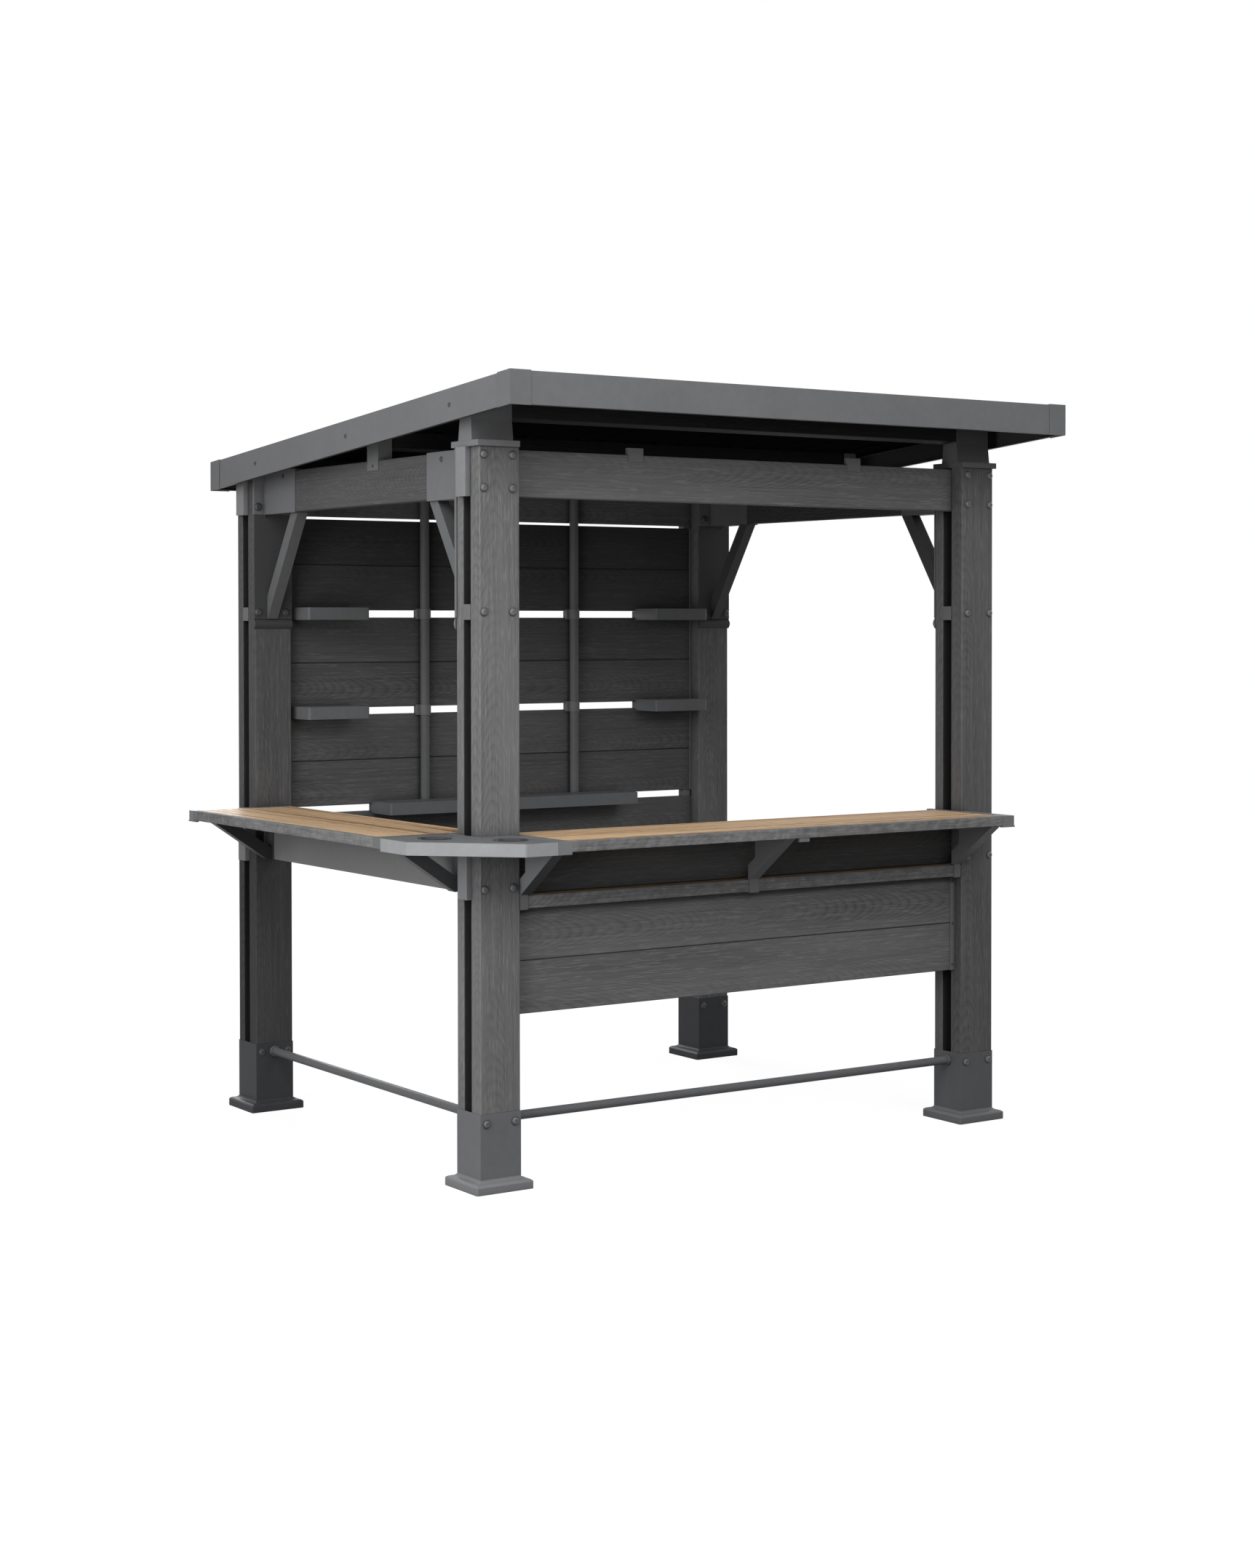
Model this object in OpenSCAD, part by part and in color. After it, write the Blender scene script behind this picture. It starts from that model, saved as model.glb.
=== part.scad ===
// Bar gazebo: four double-board posts under a sloping roof, with a corner bar
// counter on two sides, a boarded back wall with shelves, and foot rails.
// The origin is on the floor, at the middle of the whole object's plan.
// +X runs along the front from the corner tray, +Y to the back, +Z up.

/* [Frame] */
// Width over the outer faces of the posts
frame_w = 2049; // [1700:1:3000]
// Depth over the outer faces of the posts
frame_d = 1679; // [1400:1:2600]
// Height of the tops of the post boards
post_h = 2240; // [2200:1:2600]

/* [Posts] */
// Width of a post along the front
post_w = 142; // [130:1:180]
// Depth of a post from front to back
post_d = 140; // [134:1:180]
// Set-back of the boards from the faces of the base sleeve
board_inset = 1; // [0.5:0.5:2]
// Thickness of the front board of each post
front_board_t = 55; // [44:1:60]
// Slot between the two boards of a post, filled by beams and wall boards
slot_w = 41; // [30:1:45]
// Rounding of the long edges of boards and beams
board_r = 4; // [2:0.5:6]

/* [Bases] */
// Height of the top of a base sleeve
sleeve_h = 235; // [225:1:300]
// Sheet thickness of a base sleeve
sleeve_t = 3; // [2.5:0.5:5]
// Overhang of the foot beyond the sleeve
foot_overhang = 29; // [20:1:45]
// Height of the upright edge of the foot
foot_edge_h = 22; // [12:1:30]
// Rise of the moulded slope between that edge and the sleeve
foot_rise = 15; // [8:1:20]
// Rounding of the foot's corners in plan
foot_r = 8; // [3:1:15]

/* [Beams] */
// Height of the top beams
beam_h = 143; // [120:1:160]
// Drop of the beam tops below the post tops
beam_drop = 4; // [2:1:12]
// Thickness of the two side beams
side_beam_t = 47; // [36:1:55]
// Distance of a side beam's outer face from the post's outer face
side_beam_inset = 38; // [30:1:45]
// How far the end caps of beams stand out from the posts
cap_out = 17; // [8:1:25]
// Sheet thickness of caps, sockets and shoes
sheet_t = 2; // [1.5:0.5:3]

/* [Braces] */
// Length of a socket along the side beam
socket_l = 243; // [200:1:280]
// Height of a brace from its foot on the post to the socket
brace_drop = 374; // [330:1:420]
// Width of a brace along the socket
brace_l = 52; // [40:1:60]
// Thickness of the plate between a socket and the post
plate_t = 4; // [3:0.5:6]
// Reach of the rolled lip at the foot of that plate
lip_out = 10; // [6:1:14]

/* [Roof] */
// Slope of the roof down to the back, in degrees
roof_slope = 4.43; // [3.5:0.01:7]
// Gap between the back edge of the rear posts and the sheets
rear_seat = 14.3; // [12:0.1:30]
// Roof overhang at each side
over_side = 64; // [50:1:200]
// Roof overhang at the front
over_front = 283; // [265:1:450]
// Roof overhang at the back
over_back = 77; // [40:1:200]
// Height of the fascia
fascia_h = 98; // [80:1:130]
// Height of the fascia above the underside of the sheets
fascia_above = 33; // [28:1:40]
// Sheet thickness of the fascia
fascia_t = 3; // [2:0.5:4]
// Length of each leg of a corner cap
corner_leg = 72; // [50:1:110]
// Thickness of a corner cap
corner_t = 2; // [1.5:0.5:3]
// Height of the ribs of the roof sheets
rib_h = 20; // [12:1:24]
// Spacing of the ribs of the roof sheets
rib_pitch = 107; // [90:1:140]
// Thickness of the roof sheets
roof_t = 1.5; // [1:0.5:3]
// Depth of the purlins below the sheets
purlin_h = 52; // [46:1:60]
// Width of the purlins
purlin_w = 67; // [50:1:74]

/* [Counter] */
// Height of the counter's top surface
counter_top = 1067; // [1000:1:1120]
// Thickness of the counter planks and edge boards
deck_t = 33; // [28:1:36]
// Height of the corner tray's rim
tray_t = 40; // [38:1:46]
// Reach of both counters beyond the outer faces of the posts
counter_out = 245; // [200:1:320]
// Inner edge of the front counter, from the front face of the posts
front_in = 110; // [104:1:130]
// Inner edge of the side counter, from the outer face of the posts
side_in = 130; // [110:1:138]
// Thickness of the edge board along each counter
edge_t = 20; // [14:1:28]
// Gap between planks
plank_gap = 2; // [1:0.5:4]
// Length of the corner tray beyond the post on the side counter
tray_side = 31; // [24:1:60]
// Length of the corner tray beyond the post on the front counter
tray_front = 29; // [24:1:60]
// Chamfer across the tray's outer corner
tray_chamfer = 255; // [120:1:300]
// Diameter of the cup holes
cup_d = 92; // [70:1:100]
// Depth of the cup holes
cup_depth = 26; // [15:1:28]
// Length of the end profile of the side counter
end_l = 37; // [25:1:50]
// Length of the end profile of the front counter
front_end_l = 52; // [40:1:60]

/* [Bar front] */
// Height of one cladding board
board_h = 162.4; // [140:0.1:180]
// Height of the top of the ledge
ledge_top = 885; // [860:1:900]
// Thickness of the ledge
ledge_t = 40; // [30:1:45]
// Gap between adjoining boards of one panel
seam_gap = 0.6; // [0.4:0.1:2]
// Front face of the lower panel, from the front face of the posts
panel_y = 39; // [36:1:45]

/* [Back wall] */
// Gap between rows of wall boards
wall_gap = 26; // [24:1:27]
// Gap between the top row and the rear beam
wall_top_gap = 10; // [6:1:20]
// Diameter of the upright bars
bar_d = 34; // [25:1:40]
// Distance of the upright bars from the middle of the wall
bar_offset = 325; // [260:1:450]
// Depth of the shelves in front of the wall
shelf_d = 144; // [100:1:180]
// Height of the front of a shelf
shelf_h = 44; // [36:1:50]
// Length of the four small shelves
shelf_l = 241; // [180:1:260]
// Length of the bottom shelf
bottom_shelf_l = 1072; // [900:1:1200]

/* [Foot rails] */
// Height of the centre line of the foot rails
rail_z = 206; // [120:1:212]
// Diameter of the foot rails
rail_d = 28; // [20:1:34]

/* [Hidden] */
$fn = 32;

mid_x = frame_w / 2;
right_x = frame_w - post_w;
rear_y = frame_d - post_d;
slot_y0 = board_inset + front_board_t;
slot_y1 = slot_y0 + slot_w;
slot_mid = (slot_y0 + slot_y1) / 2;
face_x = post_w - board_inset;
face_y = post_d - board_inset;
face_right = frame_w - face_x;
face_rear = frame_d - face_y;
beam_top = post_h - beam_drop;
beam_bottom = beam_top - beam_h;
deck_bottom = counter_top - deck_t;
tray_bottom = counter_top - tray_t;
clear = 0.3;

// Underside of the roof sheets at a given depth, and the fascia lines
roof_tan = tan(roof_slope);
function under(y) = post_h + rear_seat + roof_tan * (frame_d - y);
function fascia_top(y) = under(y) + fascia_above;
function fascia_low(y) = fascia_top(y) - fascia_h;
roof_x0 = -over_side;
roof_x1 = frame_w + over_side;
roof_y0 = -over_front;
roof_y1 = frame_d + over_back;

// Whole plan, for the origin
plan_x0 = min(roof_x0 - corner_t, -counter_out);
plan_x1 = roof_x1 + corner_t;
plan_y0 = min(roof_y0 - corner_t, -counter_out);
plan_y1 = roof_y1 + corner_t;

// Rows of wall boards, from the rear beam down
wall_beam_top = deck_bottom - 3.4;
row_h = (beam_bottom - wall_top_gap - wall_beam_top) / 3 - wall_gap;
wall_board_h = row_h / 2;
row_top = [for (i = [0:2]) beam_bottom - wall_top_gap - i * (row_h + wall_gap)];
wall_low = row_top[2] - row_h;

charcoal = "#4a4b4d";
metal = "#5d5f61";
dark_metal = "#3c3e40";
tray_grey = "#9a9c9e";
oak = "#b8946a";

module place() {
    translate([-(plan_x0 + plan_x1) / 2, -(plan_y0 + plan_y1) / 2, 0]) children();
}

// The same piece at both sides of the middle
module both_sides() {
    children();
    translate([frame_w, 0, 0]) mirror([1, 0, 0]) children();
}

module mirror_side() {
    translate([frame_w, 0, 0]) mirror([1, 0, 0]) children();
}

// The same piece on the front post's back face and the rear post's front face
module both_faces() {
    children();
    translate([0, frame_d, 0]) mirror([0, 1, 0]) children();
}

module box(x0, y0, z0, x1, y1, z1) {
    translate([x0, y0, z0]) cube([x1 - x0, y1 - y0, z1 - z0]);
}

// Extrusions of outlines drawn in the (y, z), (x, z) and (x, y) planes
module along_x(x0, x1) {
    translate([x0, 0, 0]) rotate([90, 0, 90]) linear_extrude(x1 - x0) children();
}

module along_y(y0, y1) {
    translate([0, y1, 0]) rotate([90, 0, 0]) linear_extrude(y1 - y0) children();
}

module along_z(z0, z1) {
    translate([0, 0, z0]) linear_extrude(z1 - z0) children();
}

// Outline with rounded corners, from its corner points and a radius for each
function unit2(v) = v / norm(v);
function arc_at(a, b, c, r, n) =
    let (u = unit2(a - b), w = unit2(c - b), half = acos(max(-1, min(1, u * w))) / 2)
    let (cen = b + unit2(u + w) * r / sin(half), d = r / tan(half))
    let (s = b + u * d - cen, e = b + w * d - cen)
    let (a0 = atan2(s[1], s[0]), turn = (atan2(e[1], e[0]) - a0 + 540) % 360 - 180)
    [for (i = [0:n]) cen + r * [cos(a0 + turn * i / n), sin(a0 + turn * i / n)]];
function round_poly(p, r, n = 4) =
    let (k = len(p))
    [for (i = [0:k - 1]) each (r[i] > 0
        ? arc_at(p[(i + k - 1) % k], p[i], p[(i + 1) % k], r[i], n)
        : [p[i]])];
function rect(x0, y0, x1, y1) = [[x0, y0], [x1, y0], [x1, y1], [x0, y1]];
function round_rect(x0, y0, x1, y1, r, n = 4) =
    round_poly(rect(x0, y0, x1, y1), [r, r, r, r], n);

// Strip between two depths, parallel to the roof, from z offset a to b
function roof_strip(y0, y1, a, b) =
    [[y0, under(y0) + a], [y1, under(y1) + a], [y1, under(y1) + b], [y0, under(y0) + b]];

// Base: moulded foot with a sheet sleeve that the post boards stand in
function foot_half(n = 10) =
    [for (i = [0:n])
        let (t = i / n, s = 2 * t - 1)
        [foot_overhang - 1 - (foot_overhang - 1) * t,
         foot_edge_h + foot_rise * (0.5 + 0.5 * sign(s) * pow(abs(s), 2.2))]];
function foot_outline(w) = concat(
    [[-foot_overhang, 0], [w + foot_overhang, 0]],
    [for (p = foot_half()) [w + p[0], p[1]]],
    [for (i = [10:-1:0]) [-foot_half()[i][0], foot_half()[i][1]]]);

module base(px, py) {
    ov = foot_overhang;
    translate([px, py, 0]) difference() {
        union() {
            intersection() {
                along_y(-ov - 1, post_d + ov + 1) polygon(foot_outline(post_w));
                along_x(-ov - 1, post_w + ov + 1) polygon(foot_outline(post_d));
                along_z(-1, foot_edge_h + foot_rise + 1)
                    polygon(round_rect(-ov, -ov, post_w + ov, post_d + ov, foot_r, 6));
            }
            box(0, 0, foot_edge_h, post_w, post_d, sleeve_h);
        }
        box(sleeve_t, sleeve_t, foot_edge_h, post_w - sleeve_t, post_d - sleeve_t, sleeve_h + 1);
    }
}

// One board of a post; its foot is rebated to stand inside the sleeve
module post_board(px, py, y0, y1) {
    lo = max(y0, sleeve_t);
    hi = min(y1, post_d - sleeve_t);
    translate([px, py, 0]) {
        along_z(sleeve_h, post_h)
            polygon(round_rect(board_inset, y0, post_w - board_inset, y1, board_r));
        box(sleeve_t, lo, foot_edge_h, post_w - sleeve_t, hi, sleeve_h);
    }
}

module board_a(px, py) {
    post_board(px, py, board_inset, slot_y0);
}

module board_b(px, py) {
    post_board(px, py, slot_y1, post_d - board_inset);
}

module base_front_left() { color(metal) place() base(0, 0); }
module base_front_right() { color(metal) place() base(right_x, 0); }
module base_rear_left() { color(metal) place() base(0, rear_y); }
module base_rear_right() { color(metal) place() base(right_x, rear_y); }
module board_front_left_a() { color(charcoal) place() board_a(0, 0); }
module board_front_left_b() { color(charcoal) place() board_b(0, 0); }
module board_front_right_a() { color(charcoal) place() board_a(right_x, 0); }
module board_front_right_b() { color(charcoal) place() board_b(right_x, 0); }
module board_rear_left_a() { color(charcoal) place() board_a(0, rear_y); }
module board_rear_left_b() { color(charcoal) place() board_b(0, rear_y); }
module board_rear_right_a() { color(charcoal) place() board_a(right_x, rear_y); }
module board_rear_right_b() { color(charcoal) place() board_b(right_x, rear_y); }

// Blocks that keep the two boards of a post apart, below the braces
slot_block_z = beam_top - 516;
slot_block_h = 47;
block_w = 72;
packer_w = 32;
module slot_blocks() {
    color(metal) place() {
        for (x = [0, right_x], y = [0, rear_y])
            translate([x, y, 0])
                box(board_inset, slot_y0, slot_block_z, y > 0 ? post_w - 8 : post_w - board_inset,
                    slot_y1, slot_block_z + slot_block_h);
        // packers above and between the rows of wall boards, beside the posts
        both_sides() for (z = [row_top[0], row_top[1], row_top[2], wall_beam_top])
            box(face_x, rear_y + slot_y0 + 4, z, face_x + packer_w, rear_y + slot_y1 - 4,
                z + (z == row_top[0] ? wall_top_gap : wall_gap));
    }
}

// Front and rear beams run through the slots; side beams end in the sockets
module cross_beam(x0, x1, y, z0, z1) {
    along_x(x0, x1) polygon(round_rect(y, z0, y + slot_w, z1, board_r));
}

beam_end = cap_out - sheet_t - clear;
module beam_front() {
    color(charcoal) place()
        cross_beam(-beam_end, frame_w + beam_end, slot_y0, beam_bottom, beam_top);
}

module beam_rear() {
    color(charcoal) place()
        cross_beam(-beam_end, frame_w + beam_end, rear_y + slot_y0, beam_bottom, beam_top);
}

side_x0 = side_beam_inset;
side_x1 = side_beam_inset + side_beam_t;
module side_beam() {
    along_y(face_y + plate_t, face_rear - plate_t)
        polygon(round_rect(side_x0, beam_bottom, side_x1, beam_top, board_r));
}

module beam_left() { color(charcoal) place() side_beam(); }
module beam_right() { color(charcoal) place() mirror_side() side_beam(); }

// Sheet boxes over the ends of the beams, open towards the post
module end_cap(y0, y1, z0, z1, lid) {
    t = sheet_t;
    difference() {
        box(-cap_out, y0, z0, board_inset, y1, z1);
        box(-cap_out + t, y0 + t, z0 + t, board_inset + 1, y1 - t, lid ? z1 - t : z1 + 1);
    }
}

module beam_end_caps() {
    color(metal) place() both_sides() for (y = [0, rear_y])
        translate([0, y, 0])
            end_cap(slot_y0 - sheet_t, slot_y1 + 15, beam_bottom - sheet_t, post_h, true);
}

bar_cap_low = ledge_top - 8;
module bar_end_caps() {
    color(metal) place() both_sides() {
        end_cap(slot_y0 - 6, slot_y1 + 6, bar_cap_low, deck_bottom, false);
        translate([0, rear_y, 0])
            end_cap(slot_y0 - 6, slot_y1 + 6, bar_cap_low, wall_beam_top + sheet_t, true);
    }
}

// Risers: a flange on the post, a tapered collar and the seat of the front purlin
riser_x0 = -9;
riser_x1 = post_w - 5;
riser_y0 = 29;
riser_y1 = riser_y0 + purlin_w + 13;
riser_dx = 1.3;
flange_t = 18.5;
purlin_y0 = (riser_y0 + riser_y1 - purlin_w) / 2;
purlin_y1 = purlin_y0 + purlin_w;
collar_z0 = post_h + flange_t;
collar_z1 = under(purlin_y0) - purlin_h - 7;
module riser() {
    along_z(post_h, collar_z0)
        polygon(round_rect(riser_x0 - 1, -7, riser_x1 + 3, post_d + 12, 3));
    intersection() {
        along_y(riser_y0, riser_y1)
            polygon([[riser_x0, collar_z0], [riser_x1, collar_z0],
                     [riser_x1 - riser_dx, collar_z1], [riser_x0 + riser_dx, collar_z1]]);
        along_x(riser_x0, riser_x1)
            polygon([[riser_y0, collar_z0], [riser_y1, collar_z0],
                     [purlin_y1, collar_z1], [purlin_y0, collar_z1]]);
    }
    along_x(riser_x0 + riser_dx, riser_x1 - riser_dx)
        polygon([[purlin_y0, collar_z1], [purlin_y1, collar_z1],
                 [purlin_y1, under(purlin_y1)], [purlin_y0, under(purlin_y0)]]);
}

module riser_left() { color(metal) place() riser(); }
module riser_right() { color(metal) place() mirror_side() riser(); }

// Wedges that carry the sheets on the rear posts
module rear_pads() {
    color(metal) place() both_sides() along_x(board_inset, post_w - board_inset)
        polygon([[rear_y + board_inset, post_h], [frame_d - board_inset, post_h],
                 [frame_d - board_inset, under(frame_d - board_inset)],
                 [rear_y + board_inset, under(rear_y + board_inset)]]);
}

// Brace sockets: a plate on the post with a rolled lip at its foot and a wrapped
// outer edge, carrying a sheet box that holds the end of the side beam
brace_x0 = side_x0 - sheet_t;
brace_x1 = side_x1 + sheet_t;
socket_z0 = beam_bottom - 3;
brace_foot = socket_z0 - brace_drop;
lip_h = 36;
lip_z = brace_foot + 11;
module socket() {
    y = face_y;
    t = sheet_t;
    difference() {
        union() {
            box(-3, y, lip_z, post_w, y + plate_t, post_h);
            box(brace_x0, y, socket_z0, brace_x1, y + socket_l, post_h);
        }
        box(side_x0, y + plate_t, socket_z0 + 3, side_x1, y + socket_l + 1, post_h - t);
    }
    // wrap round the post's outer face
    box(-3, y - 7, lip_z, board_inset, y, post_h);
    // rolled lip
    along_x(-3, post_w) polygon(concat([[y, lip_z - lip_h]],
        [for (i = [0:8]) [y + lip_out * sin(i * 180 / 8), lip_z - lip_h + i * lip_h / 8]]));
    // gussets under the box
    for (x = [brace_x0, brace_x1 - t]) along_x(x, x + t)
        polygon([[y + plate_t, socket_z0 - 13], [y + plate_t + 8, socket_z0],
                 [y + plate_t, socket_z0]]);
}

module brace_sockets_left() { color(metal) place() both_faces() socket(); }
module brace_sockets_right() { color(metal) place() mirror_side() both_faces() socket(); }

// Braces from the plates up to the ends of the sockets
brace_inner = 83;
brace_w = 39;
module brace() {
    y = face_y;
    q = 6;
    k0 = brace_drop / socket_l;
    k1 = (brace_drop - brace_inner) / (socket_l - brace_l);
    top_z = socket_z0 + 1;
    difference() {
        along_x(side_x1 - brace_w, side_x1)
            polygon([[y + plate_t, lip_z], [y + (lip_z - brace_foot) / k0, lip_z],
                     [y + socket_l, socket_z0],
                     [y + socket_l - brace_l, socket_z0],
                     [y + plate_t, brace_foot + brace_inner + k1 * plate_t]]);
        along_x(side_x1 - brace_w + 2.5, side_x1 - 2.5)
            polygon([[y + plate_t - 1, brace_foot + k0 * (plate_t - 1) + q],
                     [y + (top_z - q - brace_foot) / k0, top_z],
                     [y + (top_z + q - brace_foot - brace_inner) / k1, top_z],
                     [y + plate_t - 1, brace_foot + brace_inner + k1 * (plate_t - 1) - q]]);
    }
}

module braces() {
    color(metal) place() both_sides() both_faces() brace();
}

// Fascia: a folded sheet with a return at the top, a lip at the bottom and a
// ledge that carries the edges of the roof sheets
return_w = 20;
low_lip = 14;
ledge_w = 30;
module fascia_side() {
    y0 = roof_y0 + fascia_t;
    y1 = roof_y1 - fascia_t;
    low = fascia_above - fascia_h;
    along_x(roof_x0, roof_x0 + fascia_t) polygon(roof_strip(y0, y1, low, fascia_above));
    along_x(roof_x0, roof_x0 + return_w)
        polygon(roof_strip(y0 + return_w, y1 - return_w, fascia_above - fascia_t, fascia_above));
    along_x(roof_x0, roof_x0 + low_lip)
        polygon(roof_strip(y0 + low_lip, y1 - low_lip, low, low + fascia_t));
    along_x(roof_x0, roof_x0 + ledge_w)
        polygon(roof_strip(y0 + ledge_w, y1 - ledge_w, -fascia_t, 0));
}

module fascia_cross(y0, y1, dir) {
    low = fascia_above - fascia_h;
    a = dir > 0 ? y0 : y1 - return_w;
    b = dir > 0 ? y0 : y1 - low_lip;
    c = dir > 0 ? y0 : y1 - ledge_w;
    along_x(roof_x0, roof_x1)
        polygon(roof_strip(dir > 0 ? y0 : y1 - fascia_t, dir > 0 ? y0 + fascia_t : y1,
                           low, fascia_above));
    along_x(roof_x0 + fascia_t, roof_x1 - fascia_t) {
        polygon(roof_strip(a, a + return_w, fascia_above - fascia_t, fascia_above));
        polygon(roof_strip(b, b + low_lip, low, low + fascia_t));
        polygon(roof_strip(c, c + ledge_w, -fascia_t, 0));
    }
}

module fascia_front() { color(metal) place() fascia_cross(roof_y0, roof_y1, 1); }
module fascia_rear() { color(metal) place() fascia_cross(roof_y0, roof_y1, -1); }
module fascia_left() { color(metal) place() fascia_side(); }
module fascia_right() { color(metal) place() mirror_side() fascia_side(); }

// Caps folded round the corners of the fascia, a little proud of it
module corner_cap(front) {
    t = corner_t;
    x0 = roof_x0;
    y0 = front ? roof_y0 - t : roof_y1;
    y1 = front ? roof_y0 : roof_y1 + t;
    s0 = front ? roof_y0 : roof_y1 + t - corner_leg;
    s1 = front ? roof_y0 - t + corner_leg : roof_y1;
    low = fascia_above - fascia_h - t;
    up = fascia_above + t;
    along_x(x0 - t, x0 - t + corner_leg) polygon(roof_strip(y0, y1, low, up));
    along_x(x0 - t, x0) polygon(roof_strip(s0, s1, low, up));
    along_x(x0 - t, x0 + return_w)
        polygon(roof_strip(s0, s1, fascia_above, up));
    along_x(x0, x0 - t + corner_leg)
        polygon(roof_strip(front ? roof_y0 : roof_y1 - return_w,
                           front ? roof_y0 + return_w : roof_y1, fascia_above, up));
}

module fascia_corners() {
    color(metal) place() both_sides() {
        corner_cap(true);
        corner_cap(false);
    }
}

// Purlins under the sheets
module purlin(x0, x1, y0) {
    along_x(x0, x1) polygon(roof_strip(y0, y0 + purlin_w, -purlin_h, 0));
}

front_purlin_x0 = riser_x1 - riser_dx;
mid_purlin_y = 737 / 1679 * frame_d - purlin_w / 2;
rear_purlin_y = rear_y - 172;
module purlin_front() {
    color(charcoal) place() purlin(front_purlin_x0, frame_w - front_purlin_x0, purlin_y0);
}

module purlin_middle() {
    color(charcoal) place() purlin(side_x0 + 1, frame_w - side_x0 - 1, mid_purlin_y);
}

module purlin_rear() {
    color(charcoal) place() purlin(brace_x1, frame_w - brace_x1, rear_purlin_y);
}

// Shoes over the side beams that hold the ends of the middle purlin
shoe_flange = 32;
module shoe() {
    t = sheet_t;
    y0 = mid_purlin_y - 4;
    y1 = mid_purlin_y + purlin_w + 4;
    difference() {
        along_x(side_x0 - t, side_x1 + t)
            polygon([[y0, beam_top - shoe_flange], [y1, beam_top - shoe_flange],
                     [y1, under(y1)], [y0, under(y0)]]);
        box(side_x0, y0 - 1, beam_top - shoe_flange - 1, side_x1, y1 + 1, beam_top);
        along_x(side_x0, side_x1 + t + 1)
            polygon(roof_strip(mid_purlin_y, mid_purlin_y + purlin_w, -purlin_h, purlin_h));
        along_x(side_x0 + t, side_x1 - t)
            polygon([[y0 + 3, beam_top + 3], [y1 + 1, beam_top + 3],
                     [y1 + 1, under(y1) - purlin_h - 4], [y0 + 3, under(y0) - purlin_h - 4]]);
    }
}

module purlin_shoes() { color(metal) place() both_sides() shoe(); }

// Saddle clips over the front beam
clip_x = [-423, 454];
clip_w = 56;
module beam_clips() {
    t = sheet_t;
    color(metal) place() for (x = clip_x) translate([mid_x + x - clip_w / 2, 0, 0])
        difference() {
            box(0, slot_y0 - t, beam_top - 22, clip_w, slot_y0 + 15, beam_top + 22);
            box(-1, slot_y0, beam_top - 23, clip_w + 1, slot_y1, beam_top);
        }
}

// Ribbed roof sheets, laid down the slope in three widths
sheet_x0 = roof_x0 + fascia_t + 1;
sheet_x1 = roof_x1 - fascia_t - 1;
sheet_lap = 6 * rib_pitch;
sheet_seams = [sheet_x0, mid_x - 0.57 * sheet_lap, mid_x + 0.43 * sheet_lap, sheet_x1];
rib_base = 46;
rib_top = 24;
function rib(x, t) = [[x - rib_base / 2, t], [x - rib_top / 2, rib_h + t],
                      [x + rib_top / 2, rib_h + t], [x + rib_base / 2, t]];
function ribs_between(x0, x1) =
    let (first = ceil((x0 + rib_base - sheet_x0) / rib_pitch))
    let (last = floor((x1 - rib_base - sheet_x0) / rib_pitch))
    [for (i = [first:last]) sheet_x0 + i * rib_pitch];
module roof_sheet(x0, x1) {
    xs = ribs_between(x0, x1);
    n = len(xs);
    y0 = roof_y0 + fascia_t + 1;
    l = (roof_y1 - fascia_t - 3 - y0) / cos(roof_slope);
    translate([0, y0, under(y0)]) rotate([-roof_slope, 0, 0]) along_y(0, l)
        polygon(concat([[x0, roof_t]], [for (x = xs) each rib(x, roof_t)], [[x1, roof_t]],
                       [[x1, 0]], [for (i = [n - 1:-1:0], j = [3:-1:0]) rib(xs[i], 0)[j]],
                       [[x0, 0]]));
}

module roof_sheets() {
    color(metal) place() for (i = [0:2])
        roof_sheet(sheet_seams[i] + (i > 0 ? 0.5 : 0), sheet_seams[i + 1]);
}

// Corner tray round the front left post, with two cup holes
joint_l = 50;
tray_x1 = post_w + tray_front;
joint_x0 = tray_x1 - joint_l;
tray_y1 = post_d + tray_side;
cup_a = [-123, 63];
cup_b = [37, -115];
module tray_plan(d) {
    o = -counter_out + d;
    c = tray_chamfer - d * 0.59;
    polygon(round_poly(
        [[o, o + c], [o + c, o], [joint_x0 - d, o], [joint_x0 - d, -d], [-d, -d],
         [-d, post_d + d], [side_in - d, post_d + d], [side_in - d, tray_y1 - d], [o, tray_y1 - d]],
        [14, 14, 0, 0, 0, 0, 0, 0, 0], 6));
}

module corner_tray() {
    t = 3;
    rim = 12;
    o = -counter_out + rim;
    c = tray_chamfer - rim * 0.6;
    color(tray_grey) place() difference() {
        union() {
            along_z(deck_bottom, counter_top) tray_plan(0);
            along_z(tray_bottom, deck_bottom) difference() {
                tray_plan(0);
                polygon([[o, o + c], [o + c, o], [tray_x1 + 1, o], [tray_x1 + 1, tray_y1 + 1],
                         [o, tray_y1 + 1]]);
            }
        }
        difference() {
            along_z(deck_bottom - 1, counter_top - t) tray_plan(t);
            for (p = [cup_a, cup_b])
                translate([p[0], p[1], counter_top - cup_depth - t])
                    cylinder(d = cup_d + 2 * t, h = cup_depth + t);
        }
        for (p = [cup_a, cup_b])
            translate([p[0], p[1], counter_top - cup_depth]) cylinder(d = cup_d, h = cup_depth + 1);
    }
}

// Counter planks, side by side along the length of each counter
plank_n = 4;
side_y0 = tray_y1 + joint_l;
side_y1 = rear_y + 16 - end_l;
front_x0 = tray_x1;
front_x1 = right_x + 19 - front_end_l;
side_plank_w = (counter_out - edge_t + side_in - (plank_n - 1) * plank_gap) / plank_n;
front_plank_w = (counter_out - edge_t + front_in - (plank_n - 1) * plank_gap) / plank_n;
module planks_side() {
    color(oak) place() for (i = [0:plank_n - 1])
        translate([edge_t - counter_out + i * (side_plank_w + plank_gap), 0, 0])
            along_y(side_y0, side_y1)
                polygon(round_rect(0, deck_bottom, side_plank_w, counter_top, 1.5, 2));
}

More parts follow.
